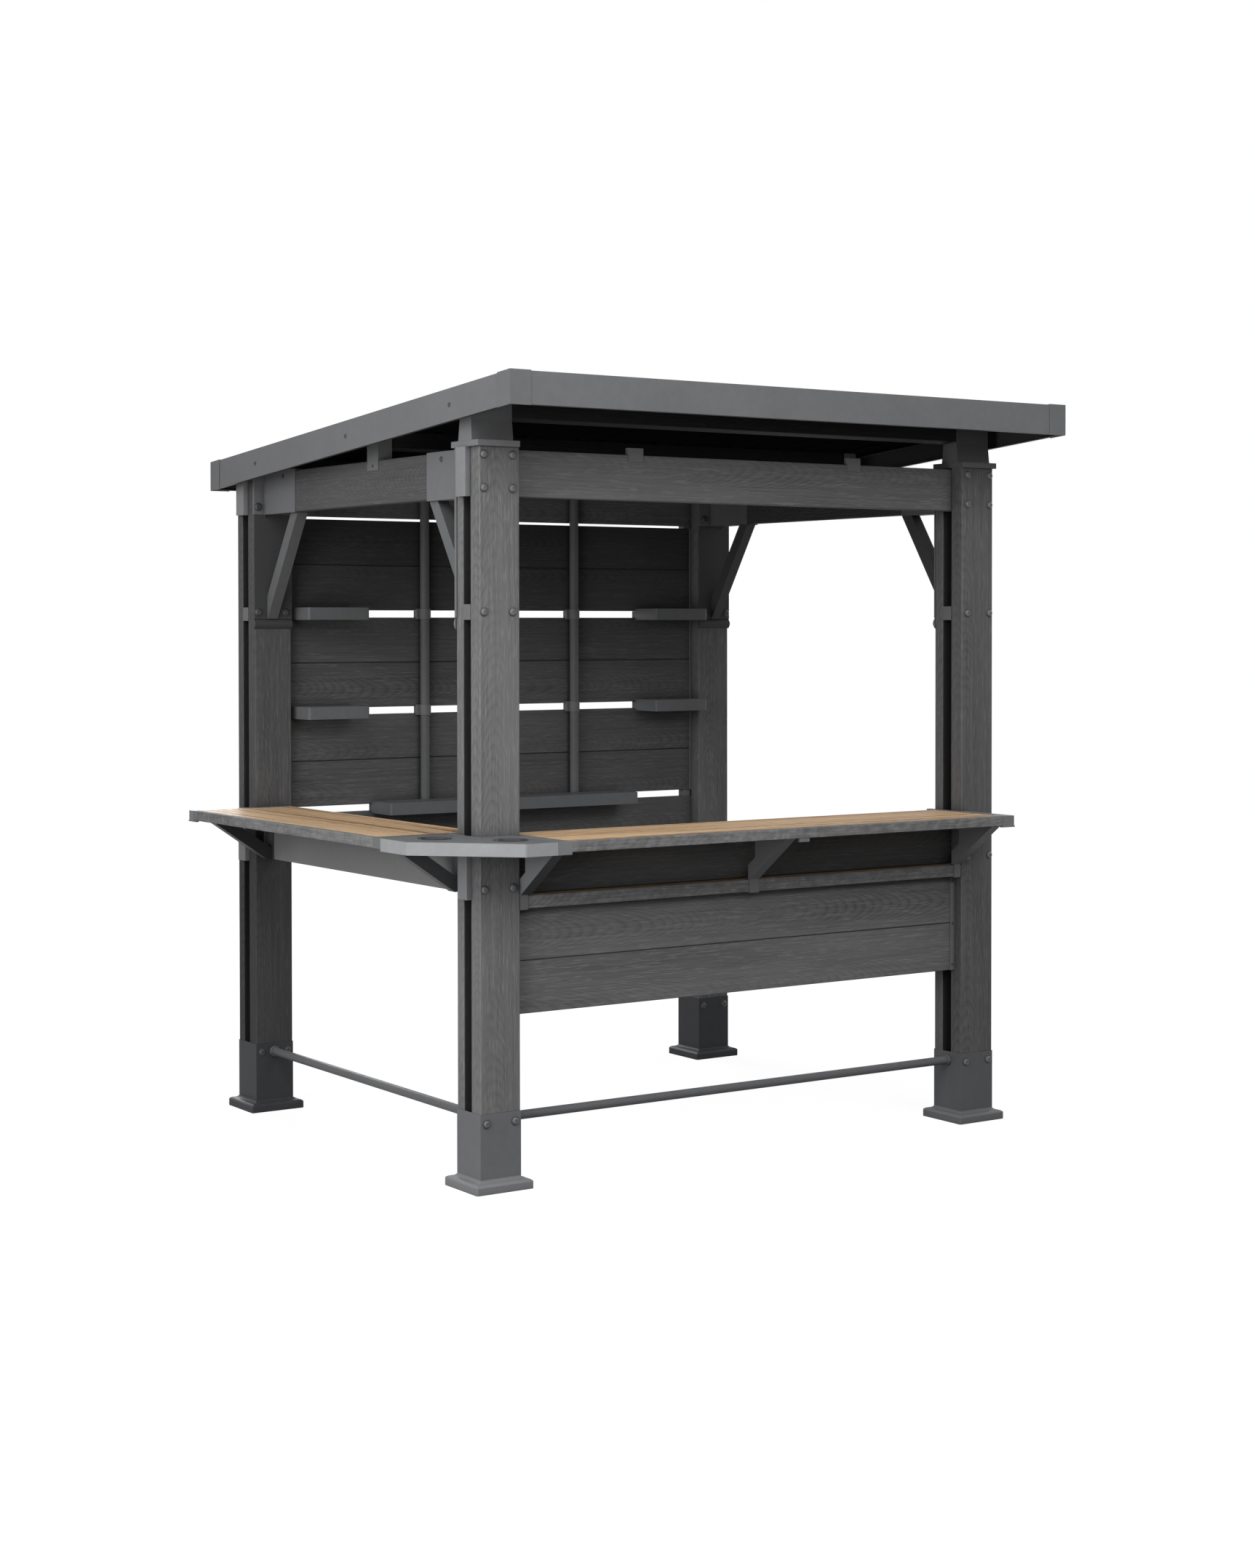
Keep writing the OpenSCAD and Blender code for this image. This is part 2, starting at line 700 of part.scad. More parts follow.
module planks_front() {
    color(oak) place() for (i = [0:plank_n - 1])
        translate([0, edge_t - counter_out + i * (front_plank_w + plank_gap), 0])
            along_x(front_x0, front_x1)
                polygon(round_rect(0, deck_bottom, front_plank_w, counter_top, 1.5, 2));
}

// Edge boards along the outer edges
module edge_side() {
    color(charcoal) place() along_y(side_y0, side_y1)
        polygon(round_rect(-counter_out, deck_bottom, edge_t - counter_out, counter_top, 2, 2));
}

module edge_front() {
    color(charcoal) place() along_x(front_x0, front_x1)
        polygon(round_rect(-counter_out, deck_bottom, edge_t - counter_out, counter_top, 2, 2));
}

// End profiles of the counters, notched round the posts
module counter_ends() {
    o = -counter_out;
    color(metal) place() {
        box(o, tray_y1, deck_bottom, side_in, side_y0, counter_top);
        along_z(deck_bottom, counter_top)
            polygon([[joint_x0, o], [front_x0, o], [front_x0, front_in], [post_w, front_in],
                     [post_w, 0], [joint_x0, 0]]);
        box(joint_x0, o, tray_bottom, front_x0, o + 12, deck_bottom);
        box(o, side_y1 - 20, tray_bottom + 2, o + 12, side_y1 + end_l, deck_bottom);
        box(front_x1 - 4, o, tray_bottom + 2, front_x1 + front_end_l, o + 12, deck_bottom);
        along_z(deck_bottom, counter_top)
            polygon(round_poly([[o, side_y1], [side_in, side_y1], [side_in, rear_y], [0, rear_y],
                                [0, side_y1 + end_l], [o, side_y1 + end_l]],
                               [0, 0, 0, 0, 0, 6]));
        along_z(deck_bottom, counter_top)
            polygon(round_poly([[front_x1, o], [front_x1 + front_end_l, o],
                                [front_x1 + front_end_l, 0],
                                [right_x, 0], [right_x, post_d + 16],
                                [front_x1 + 12, post_d + 16], [front_x1 + 12, front_in],
                                [front_x1, front_in]],
                               [0, 6, 0, 0, 0, 0, 0, 0]));
    }
}

// Brackets: folded channels with two cheeks, a sloping lower face and a top flange
bracket_w = 38;
bracket_t = 3;
module bracket(foot_z, back, flat, reach, n, k) {
    // drawn with the wall face at y = back and the reach towards -y
    t = bracket_t;
    dz = deck_bottom - 10 - foot_z;
    low = dz / (reach - flat);
    up = unit2([dz, reach - flat]) * t;
    difference() {
        along_x(0, bracket_w)
            polygon([[-reach - 10, deck_bottom], [-n, deck_bottom],
                     [-n, foot_z + low * (n - flat) + k],
                     [back, foot_z + k - low * (back + flat)], [back, foot_z],
                     [-flat, foot_z], [-reach, deck_bottom - 10],
                     [-reach - 10, deck_bottom - 3]]);
        along_x(t, bracket_w - t)
            polygon([[-flat, foot_z] + up, [back + 1, foot_z + up[1]],
                     [back + 1, deck_bottom - t], [-reach, deck_bottom - t],
                     [-reach, deck_bottom - 10] + up]);
    }
}

module brackets_front() {
    color(dark_metal) place() for (x = [face_x, mid_x - bracket_w / 2, face_right - bracket_w])
        translate([x, 0, 0]) bracket(ledge_top + 3, 9, 2, counter_out - 58, 28, 52);
}

// The side counter's brackets stand on the apron's outer face
apron_x0 = 32;
apron_t = 40;
apron_z0 = ledge_top + 5;
flange_w = 60;
module side_bracket() {
    translate([apron_x0, 0, 0]) rotate([0, 0, -90]) translate([-flange_w, 0, 0])
        translate([(flange_w - bracket_w) / 2, -3, 0])
            bracket(apron_z0, 0, 17, counter_out - 31, 150, 50);
    box(apron_x0 - 3, 0, apron_z0, apron_x0, flange_w, deck_bottom);
}

module brackets_side() {
    color(dark_metal) place() {
        translate([0, post_d + 19.5, 0]) side_bracket();
        translate([0, rear_y - 19.5 - flange_w, 0]) side_bracket();
    }
}

module apron() {
    t = 3;
    color(metal) place() difference() {
        box(apron_x0, face_y, apron_z0, apron_x0 + apron_t, face_rear, deck_bottom);
        box(apron_x0 + t, face_y - 1, apron_z0 + t, apron_x0 + apron_t + 1, face_rear + 1,
            deck_bottom - t);
    }
}

// Bar beam in the slots of the front posts, and the panel below the ledge
module bar_beam() {
    color(charcoal) place()
        cross_beam(board_inset, frame_w - board_inset, slot_y0, ledge_top, deck_bottom);
}

channel_t = 3;
channel_l = 19;
panel_top = ledge_top - ledge_t;
panel_z0 = panel_top - 2 * board_h;
module panel_boards() {
    color(charcoal) place() for (i = [0:1])
        along_x(face_x + channel_t, face_right - channel_t)
            polygon(round_rect(panel_y, panel_z0 + i * board_h, panel_y + slot_w,
                               panel_z0 + (i + 1) * board_h - seam_gap, 2, 2));
}

module channel(y0, y1, z0, z1, l) {
    difference() {
        box(face_x, y0 - channel_t, z0, face_x + l, y1 + channel_t, z1);
        box(face_x + channel_t, y0, z0 - 1, face_x + l + 1, y1, z1 + 1);
    }
}

module panel_channels() {
    color(metal) place() both_sides()
        channel(panel_y, panel_y + slot_w, panel_z0, panel_top, channel_l);
}

// Ledge on top of the panel: a plank behind an edge board, with clamps over its front
clamp_l = 28;
ledge_edge_t = 16;
module ledge() {
    color(oak) place() along_x(face_x + 1, face_right - 1)
        polygon(round_rect(3 + ledge_edge_t, panel_top, slot_y1, ledge_top, 1.5, 2));
}

module ledge_edge() {
    color(charcoal) place() along_x(face_x + 1, face_right - 1)
        polygon(round_rect(3, panel_top, 3 + ledge_edge_t, ledge_top - 1, 1.5, 2));
}

module ledge_clamps() {
    t = 3;
    color(metal) place() for (x = [face_x, mid_x - 19, face_right - clamp_l - 5])
        translate([x, 0, 0]) difference() {
            box(0, 0, panel_top - t, x == mid_x - 19 ? 38 : clamp_l, panel_y - channel_t,
                ledge_top + t);
            box(-1, t, panel_top, 50, panel_y, ledge_top);
        }
}

// Foot rails between the base sleeves, with a collar at each end
rail_pos = 69;
collar_l = 12;
module foot_rails() {
    color(metal) place() {
        translate([post_w, rail_pos, rail_z]) rotate([0, 90, 0])
            cylinder(d = rail_d, h = right_x - post_w);
        translate([rail_pos, post_d, rail_z]) rotate([-90, 0, 0])
            cylinder(d = rail_d, h = rear_y - post_d);
    }
}

module collar() {
    difference() {
        cylinder(d = rail_d + 8, h = collar_l);
        translate([0, 0, -1]) cylinder(d = rail_d + 2 * clear, h = collar_l + 2);
    }
}

module rail_collars() {
    color(metal) place() {
        for (x = [post_w, right_x - collar_l])
            translate([x, rail_pos, rail_z]) rotate([0, 90, 0]) collar();
        for (y = [post_d, rear_y - collar_l])
            translate([rail_pos, y, rail_z]) rotate([-90, 0, 0]) collar();
    }
}

// Back wall: three rows of two boards, and a beam below them
wall_y0 = rear_y + slot_y0;
wall_y1 = rear_y + slot_y1;
module wall_boards() {
    color(charcoal) place() for (top = row_top, i = [0:1])
        along_x(face_x + channel_t, face_right - channel_t)
            polygon(round_rect(wall_y0, top - row_h + i * wall_board_h, wall_y1,
                               top - row_h + (i + 1) * wall_board_h - (i == 0 ? seam_gap : 0),
                               2, 2));
}

module wall_beam() {
    color(charcoal) place()
        cross_beam(board_inset, frame_w - board_inset, wall_y0, bar_cap_low + 8, wall_beam_top);
}

wall_channel_l = 8;
module wall_channels() {
    color(metal) place() both_sides() for (top = row_top)
        channel(wall_y0, wall_y1, top - row_h, top, wall_channel_l);
}

// Upright bars on the bottom shelf, clamped at the gaps between the rows
bar_y = wall_y0 - bar_d / 2 - 2;
bottom_shelf_top = wall_low + 10;
clamp_z = [for (i = [1:2]) row_top[i] + wall_gap / 2];
module wall_bars() {
    color(metal) place() both_sides()
        translate([mid_x - bar_offset, bar_y, bottom_shelf_top])
            cylinder(d = bar_d, h = beam_top - 40 - bottom_shelf_top);
}

bar_clamp_w = 58;
bar_clamp_h = 38;
bar_clamp_in = 12;
module bar_clamps() {
    w = bar_clamp_w / 2;
    r = bar_d / 2;
    g = (bar_clamp_h - wall_gap) / 2;
    color(metal) place() both_sides() for (z = clamp_z)
        translate([mid_x - bar_offset, 0, z - bar_clamp_h / 2]) difference() {
            union() {
                translate([0, bar_y, 0]) cylinder(r = r + 3, h = bar_clamp_h);
                box(-w, bar_y + 6, 0, w, wall_y0, bar_clamp_h);
                box(-w, wall_y0 - 2, g, w, wall_y0 + bar_clamp_in, bar_clamp_h - g - 0.5);
            }
            translate([0, bar_y, -1]) cylinder(r = r + clear, h = bar_clamp_h + 2);
        }
}

// Shelves: folded trays, open below, with a tongue that rests in a gap of the wall
shelf_x0 = post_w + 23;
tongue_d = 20;
module shelf(x0, x1, z0, tongue_x0, gap_z) {
    t = 3;
    box(tongue_x0, wall_y0 - 1, gap_z, x1, wall_y0 + tongue_d, gap_z + wall_gap - 0.5);
    translate([0, 0, z0]) difference() {
        along_z(0, shelf_h)
            polygon(round_poly([[x0, wall_y0 - shelf_d], [x1, wall_y0 - shelf_d],
                                [x1, wall_y0], [x0, wall_y0]], [8, 8, 0, 0]));
        along_z(-1, shelf_h - t)
            polygon(round_poly([[x0 + t, wall_y0 - shelf_d + t], [x1 - t, wall_y0 - shelf_d + t],
                                [x1 - t, wall_y0 - t], [x0 + t, wall_y0 - t]], [5, 5, 0, 0]));
    }
}

module shelves() {
    color(dark_metal) place() {
        both_sides() for (z = clamp_z)
            shelf(shelf_x0, shelf_x0 + shelf_l, z - shelf_h / 2,
                  max(shelf_x0, face_x + packer_w + 1), z - wall_gap / 2);
        shelf(mid_x - bottom_shelf_l / 2, mid_x + bottom_shelf_l / 2,
              bottom_shelf_top - shelf_h, mid_x - bottom_shelf_l / 2, wall_beam_top);
    }
}

// Dome-headed bolts in the front faces of the posts and of their base sleeves
bolt_d = 20;
bolt_rows = [beam_top - 21, beam_bottom + 22, slot_block_z + slot_block_h / 2, ledge_top + 26];
plate_bolt_d = 28;
plate_bolt_rows = [beam_bottom + 25, lip_z + 23];
module bolt(d) {
    rotate([90, 0, 0]) rotate_extrude()
        polygon([[0, 0], [d / 2, 0], [d / 2, 1.5], [d / 2 - 1, 3],
                 [d / 2 - 3, 4.6], [d / 2 - 6, 5.7], [0, 6]]);
}

module post_bolts() {
    color(dark_metal) place() both_sides() {
        for (dx = [16, 116]) {
            for (z = bolt_rows) translate([dx, board_inset, z]) bolt(bolt_d);
            translate([dx + 5, 0, sleeve_h - 29]) bolt(bolt_d);
            translate([dx, face_rear, bolt_rows[3]]) bolt(bolt_d);
        }
        // larger ones through the plates of the sockets
        for (dx = [12, 117], z = plate_bolt_rows)
            both_faces() translate([dx, face_y + plate_t, z]) rotate([0, 0, 180]) bolt(plate_bolt_d);
    }
}

base_front_left();
base_front_right();
base_rear_left();
base_rear_right();
board_front_left_a();
board_front_left_b();
board_front_right_a();
board_front_right_b();
board_rear_left_a();
board_rear_left_b();
board_rear_right_a();
board_rear_right_b();
slot_blocks();
beam_end_caps();
bar_end_caps();
riser_left();
riser_right();
rear_pads();
beam_front();
beam_rear();
beam_left();
beam_right();
brace_sockets_left();
brace_sockets_right();
braces();
fascia_front();
fascia_rear();
fascia_left();
fascia_right();
fascia_corners();
purlin_front();
purlin_middle();
purlin_rear();
purlin_shoes();
beam_clips();
roof_sheets();
corner_tray();
planks_side();
planks_front();
edge_side();
edge_front();
counter_ends();
brackets_front();
brackets_side();
apron();
bar_beam();
panel_boards();
panel_channels();
ledge();
ledge_edge();
ledge_clamps();
foot_rails();
rail_collars();
wall_boards();
wall_beam();
wall_channels();
wall_bars();
bar_clamps();
shelves();
post_bolts();
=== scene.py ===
# %% [markdown]
# # A bar gazebo
# This lesson dresses a finished solid model of a small roofed bar. The solids
# already have the right shapes and sizes, so Blender's work is the finish:
# stained boards with open grain, powder-coated sheet metal, light counter
# planks, and the small fasteners that the solids leave out. Every length is in
# metres, +Z is up, and the bar's front looks towards -Y.

# %% Load the solid model
import math

import bmesh
import bpy
from mathutils import Matrix, Vector


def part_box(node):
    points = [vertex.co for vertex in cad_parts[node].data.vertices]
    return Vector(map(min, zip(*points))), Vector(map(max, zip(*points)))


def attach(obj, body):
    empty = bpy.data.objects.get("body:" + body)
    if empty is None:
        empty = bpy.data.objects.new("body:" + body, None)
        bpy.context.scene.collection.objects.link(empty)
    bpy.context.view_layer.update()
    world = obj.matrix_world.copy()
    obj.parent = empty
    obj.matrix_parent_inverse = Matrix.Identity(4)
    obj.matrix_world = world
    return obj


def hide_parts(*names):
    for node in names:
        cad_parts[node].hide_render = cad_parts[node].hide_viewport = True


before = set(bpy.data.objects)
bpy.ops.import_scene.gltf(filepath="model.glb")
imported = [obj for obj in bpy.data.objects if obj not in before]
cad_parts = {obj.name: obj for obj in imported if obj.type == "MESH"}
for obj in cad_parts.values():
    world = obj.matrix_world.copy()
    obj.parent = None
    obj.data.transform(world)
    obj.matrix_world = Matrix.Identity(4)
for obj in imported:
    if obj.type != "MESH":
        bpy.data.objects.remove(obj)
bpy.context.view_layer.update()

# %% [markdown]
# ## Places on the bar
# A carpenter would measure this bar from the outer corner of its front left
# post, where the sleeve of the base stands a millimetre outside the boards. The
# places could be typed as the scene's own numbers, but then nothing would
# follow if the bar were moved. So the corner is read from the solids once, and
# `at` turns a carpenter's measure into a place in the scene.

# %% Places on the bar
SLEEVE_LIP = 0.001

left_board, right_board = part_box("board_front_left_a"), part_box("board_front_right_a")
corner_x = left_board[0].x - SLEEVE_LIP
corner_y = left_board[0].y - SLEEVE_LIP
frame_w = right_board[1].x + SLEEVE_LIP - corner_x
frame_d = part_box("board_rear_left_b")[1].y + SLEEVE_LIP - corner_y


def at(x, y, z):
    """A place measured in metres from the front left post's outer corner."""
    return Vector((corner_x + x, corner_y + y, z))


print("posts:", round(frame_w, 3), "wide and", round(frame_d, 3), "deep over their faces")

# %% [markdown]
# ## Helpers for materials
# A node material is a small chain of steps. These helpers add one step each
# and join it to the one before, so that a recipe below reads from top to
# bottom. A number or a colour that is the same all over is set on the socket
# itself. Only what changes over the surface is joined with a link.

# %% Node helpers


class Recipe:
    """A new material's nodes, added one at a time."""

    def __init__(self, name):
        self.material = bpy.data.materials.new(name)
        self.material.use_nodes = True
        self.tree = self.material.node_tree
        self.shader = self.tree.nodes["Principled BSDF"]
        self.place = self.add("ShaderNodeTexCoord").outputs["Object"]

    def add(self, kind, **settings):
        node = self.tree.nodes.new(kind)
        for key, value in settings.items():
            setattr(node, key, value)
        return node

    def feed(self, socket, value):
        if isinstance(value, bpy.types.NodeSocket):
            self.tree.links.new(value, socket)
        else:
            socket.default_value = value

    def math(self, operation, *values):
        node = self.add("ShaderNodeMath", operation=operation)
        for socket, value in zip(node.inputs, values):
            self.feed(socket, value)
        return node.outputs[0]

    def vector(self, x, y, z):
        node = self.add("ShaderNodeCombineXYZ")
        for socket, value in zip(node.inputs, (x, y, z)):
            self.feed(socket, value)
        return node.outputs[0]

    def parts(self, vector):
        """The x, y and z of a vector."""
        node = self.add("ShaderNodeSeparateXYZ")
        self.feed(node.inputs[0], vector)
        return list(node.outputs)

    def noise(self, where, scale, detail=2.0, roughness=0.5):
        node = self.add("ShaderNodeTexNoise")
        self.feed(node.inputs["Vector"], where)
        node.inputs["Scale"].default_value = scale
        node.inputs["Detail"].default_value = detail
        node.inputs["Roughness"].default_value = roughness
        return node.outputs["Fac"]

    def ramp(self, value, stops):
        """A grey level that follows the value, given as (position, level) stops."""
        node = self.add("ShaderNodeValToRGB")
        points = node.color_ramp.elements
        while len(points) < len(stops):
            points.new(0.5)
        for point, (position, level) in zip(points, stops):
            point.position = position
            point.color = (level, level, level, 1)
        self.feed(node.inputs["Fac"], value)
        return node.outputs["Color"]

    def mix(self, factor, a, b):
        """From colour a, where the factor is 0, to colour b, where it is 1."""
        node = self.add("ShaderNodeMix", data_type="RGBA")
        for socket, value in zip((node.inputs[0], node.inputs[6], node.inputs[7]), (factor, a, b)):
            self.feed(socket, (*value, 1) if isinstance(value, tuple) else value)
        return node.outputs[2]

    def lay(self, colour, mask, share, tone):
        """Lays a share of the tone over the colour where the mask is 1, and none where it is 0."""
        return self.mix(self.math("MULTIPLY", mask, share), colour, tone)

    def bump(self, height, strength, distance, under=None):
        node = self.add("ShaderNodeBump")
        self.feed(node.inputs["Height"], height)
        node.inputs["Strength"].default_value = strength
        node.inputs["Distance"].default_value = distance
        if under is not None:
            self.feed(node.inputs["Normal"], under)
        return node.outputs["Normal"]


def shade(tone, level):
    """A tone made lighter or darker."""
    return tuple(channel * level for channel in tone)


def paint(names, material):
    """Puts one material on solids."""
    for name in names:
        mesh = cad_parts[name].data
        mesh.materials.clear()
        mesh.materials.append(material)


print("a recipe can", ", ".join(step for step in vars(Recipe) if step[0] != "_"))

# %% [markdown]
# ## Edges and corners
# On a real board or sheet no edge is sharp, and it wears first. Its lighter
# edge is partly that wear and partly a painted highlight. In corners the
# colour is darkened as painted shade. The solids' edges could be bevelled, but
# those meshes are fixed, so two render nodes do it in the material. The Bevel
# node gives the normal of a small radius, and where that normal turns away from
# the flat face, there is an edge. The Ambient Occlusion node tells how shut in
# a point is, and the painted shade follows it.

# %% Edge and corner helpers
NODE_SAMPLES = 4


def edges(recipe, radius):
    """The normal of slightly rounded edges, and a mask that is 1 along them."""
    rounded = recipe.add("ShaderNodeBevel", samples=NODE_SAMPLES)
    rounded.inputs["Radius"].default_value = radius
    sharp = recipe.add("ShaderNodeNewGeometry").outputs["True Normal"]
    turned = recipe.add("ShaderNodeVectorMath", operation="DOT_PRODUCT")
    recipe.feed(turned.inputs[0], rounded.outputs[0])
    recipe.feed(turned.inputs[1], sharp)
    away = recipe.math("SUBTRACT", 1.0, turned.outputs["Value"])
    return rounded.outputs[0], recipe.ramp(away, [(0.02, 0.0), (0.22, 1.0)])


def painted_corner_shade(recipe, colour, reach, share, tone):
    """Paints shade: lays a share of the dark tone over the colour in corners and beside neighbours.
    """
    shut = recipe.add("ShaderNodeAmbientOcclusion", samples=NODE_SAMPLES)
    shut.inputs["Distance"].default_value = reach
    clear = recipe.ramp(shut.outputs["AO"], [(0.25, 0.0), (0.85, 1.0)])
    return recipe.mix(recipe.math("MULTIPLY_ADD", clear, share, 1.0 - share), tone, colour)


print("samples of each edge and corner node:", NODE_SAMPLES)

# %% [markdown]
# ## Boards with open grain
# The posts, beams and wall boards are planed boards under a charcoal stain. A
# picture of wood would repeat, and would not run on round an edge. Real grain is
# a cut through a tree's growth rings, so the material works out where a point
# lies in its tree: how far along it, and how far from its middle.
#
# Each board needs a tree of its own. In a node that holds several boards, the
# joints between them are listed. Each joint that a point lies past adds one to
# the board's number, and the number moves its tree along.

# %% Where a point lies in its tree
AXIS = {"X": 0, "Y": 1, "Z": 2}
HEART_DEPTH = 0.035  # how far behind the board's face the middle of the tree is
TREE_STEP = 3.71     # how far each board is cut along from the one before


class BoardRecipe(Recipe):
    """A wood: grain and face are the axes along the fibres and out of the board's face."""

    def __init__(self, name, node, grain, face, cuts, seed):
        super().__init__(name)
        low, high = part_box(node)
        across = ({0, 1, 2} - {AXIS[grain], AXIS[face]}).pop()
        axes = self.parts(self.place)
        along, self.over, self.depth = axes[AXIS[grain]], axes[across], axes[AXIS[face]]
        self.above_floor = axes[2]

        borders = [low[across], *cuts, high[across]]
        middles = [(a + b) / 2 for a, b in zip(borders, borders[1:])]
        number, middle, self.joint = 0.0, middles[0], None
        for i, place in enumerate(cuts):
            past = self.math("GREATER_THAN", self.over, place)
            number = self.math("ADD", past, number)
            middle = self.math("MULTIPLY_ADD", past, middles[i + 1] - middles[i], middle)
            away = self.math("ABSOLUTE", self.math("SUBTRACT", self.over, place))
            self.joint = away if self.joint is None else self.math("MINIMUM", self.joint, away)

        self.board = self.math("ADD", number, seed)
        self.side = self.math("SUBTRACT", self.over, middle)
        behind = self.math("SUBTRACT", self.depth, high[AXIS[face]])
        self.back = self.math("ADD", behind, HEART_DEPTH)
        self.far = self.math("MULTIPLY_ADD", self.board, TREE_STEP, along)

    def stretched(self, long, wide, detail, roughness=0.5):
        """Noise with a scale along the fibres and another one across them."""
        where = self.vector(self.math("MULTIPLY", self.far, long),
                            self.math("MULTIPLY", self.over, wide),
                            self.math("MULTIPLY", self.depth, wide))
        return self.noise(where, 1.0, detail, roughness)


print("a tree's middle lies", HEART_DEPTH, "m behind the face")

# %% [markdown]
# ## Growth rings
# A trunk tapers, so its rings are steep cones inside each other. A flat face
# cuts them in nested arches that open along the board, with straight lines
# beside them. A stretched wave texture would give the lines but not the arches,
# so the recipe does the sum of the cones: a point's place along the board, plus
# the square of its distance from the tree's middle, says which ring it is in.
# `arch` is the length of one arch and `bow` says how steep the cones are. The
# middle wanders from board to board, and noise of three sizes bends the rings.

# %% The rings
RING_BENDS = ((2.0, 6.0, 0.24), (7.0, 22.0, 0.026), (22.0, 55.0, 0.008))
RING_TONES = [(0.0, 0.45), (0.2, 0.85), (0.55, 0.75), (0.80, 0.40), (0.92, 0.12), (1.0, 0.45)]
PLAIN_TONE = 0.6  # where the rings fade away
SWAY_STEP = 7.3   # how far the wandering turns from one board to the next


def ring_tone(wood, arch, bow, aside, wander):
    """How light the ring is that a point lies in."""
    sway = wood.math("SINE", wood.math("MULTIPLY", wood.board, SWAY_STEP))
    side = wood.math("MULTIPLY_ADD", sway, wander, wood.side)
    side = wood.math("ADD", side, aside)
    cone = wood.math("MULTIPLY_ADD", side, side, wood.math("MULTIPLY", wood.back, wood.back))
    bent = wood.math("MULTIPLY_ADD", cone, bow, wood.far)
    for long, wide, size in RING_BENDS:
        bent = wood.math("MULTIPLY_ADD", wood.stretched(long, wide, 1.0), size, bent)
    turn = wood.math("FRACT", wood.math("DIVIDE", bent, arch))
    rings = wood.ramp(turn, RING_TONES)
    fade = wood.ramp(wood.stretched(1.7, 9.0, 1.0), [(0.35, 0.20), (0.62, 1.0)])
    return wood.mix(fade, (PLAIN_TONE,) * 3, rings)


print("stops in one ring:", len(RING_TONES))

# %% [markdown]
# ## Stain over the grain
# The rings alone look drawn. Between them lie fine fibres and short open pores,
# and the stain takes up slow clouds of tone. Each is one more stretched noise,
# laid over the rings in turn. Three options change the colour from place to
# place. The first paints shade: the colour darkens between two heights, where a
# roof or a counter shades the boards. The second paints the face inside a
# joint, at a given depth, nearly black as shade. And `hewn` boards keep the
# small scallops of the tool.

# %% The wood recipe
# each noise: its scale along the fibres, across them, its detail and roughness
FIBRES, PORES, CLOUDS = (2.4, 150.0, 3.0, 0.62), (17.0, 230.0, 1.0), (1.1, 5.0, 2.0)
STRIPES, SCALLOPS = (0.6, 34.0, 2.0, 0.55), (26.0, 40.0, 3.0, 0.6)
STRIPE_BANDS = [(0.36, 1.0), (0.50, 0.0), (1.0, 0.0)]
JOINT_LINE = [(0.0012, 1.0), (0.0030, 0.0)]
TONE_STEP = 11.9  # how far the tone turns from one board to the next
BOARD_EDGE, BOARD_CORNER, BOARD_BUMP = 0.004, 0.06, 0.0006
WOOD_SHINE = 0.02


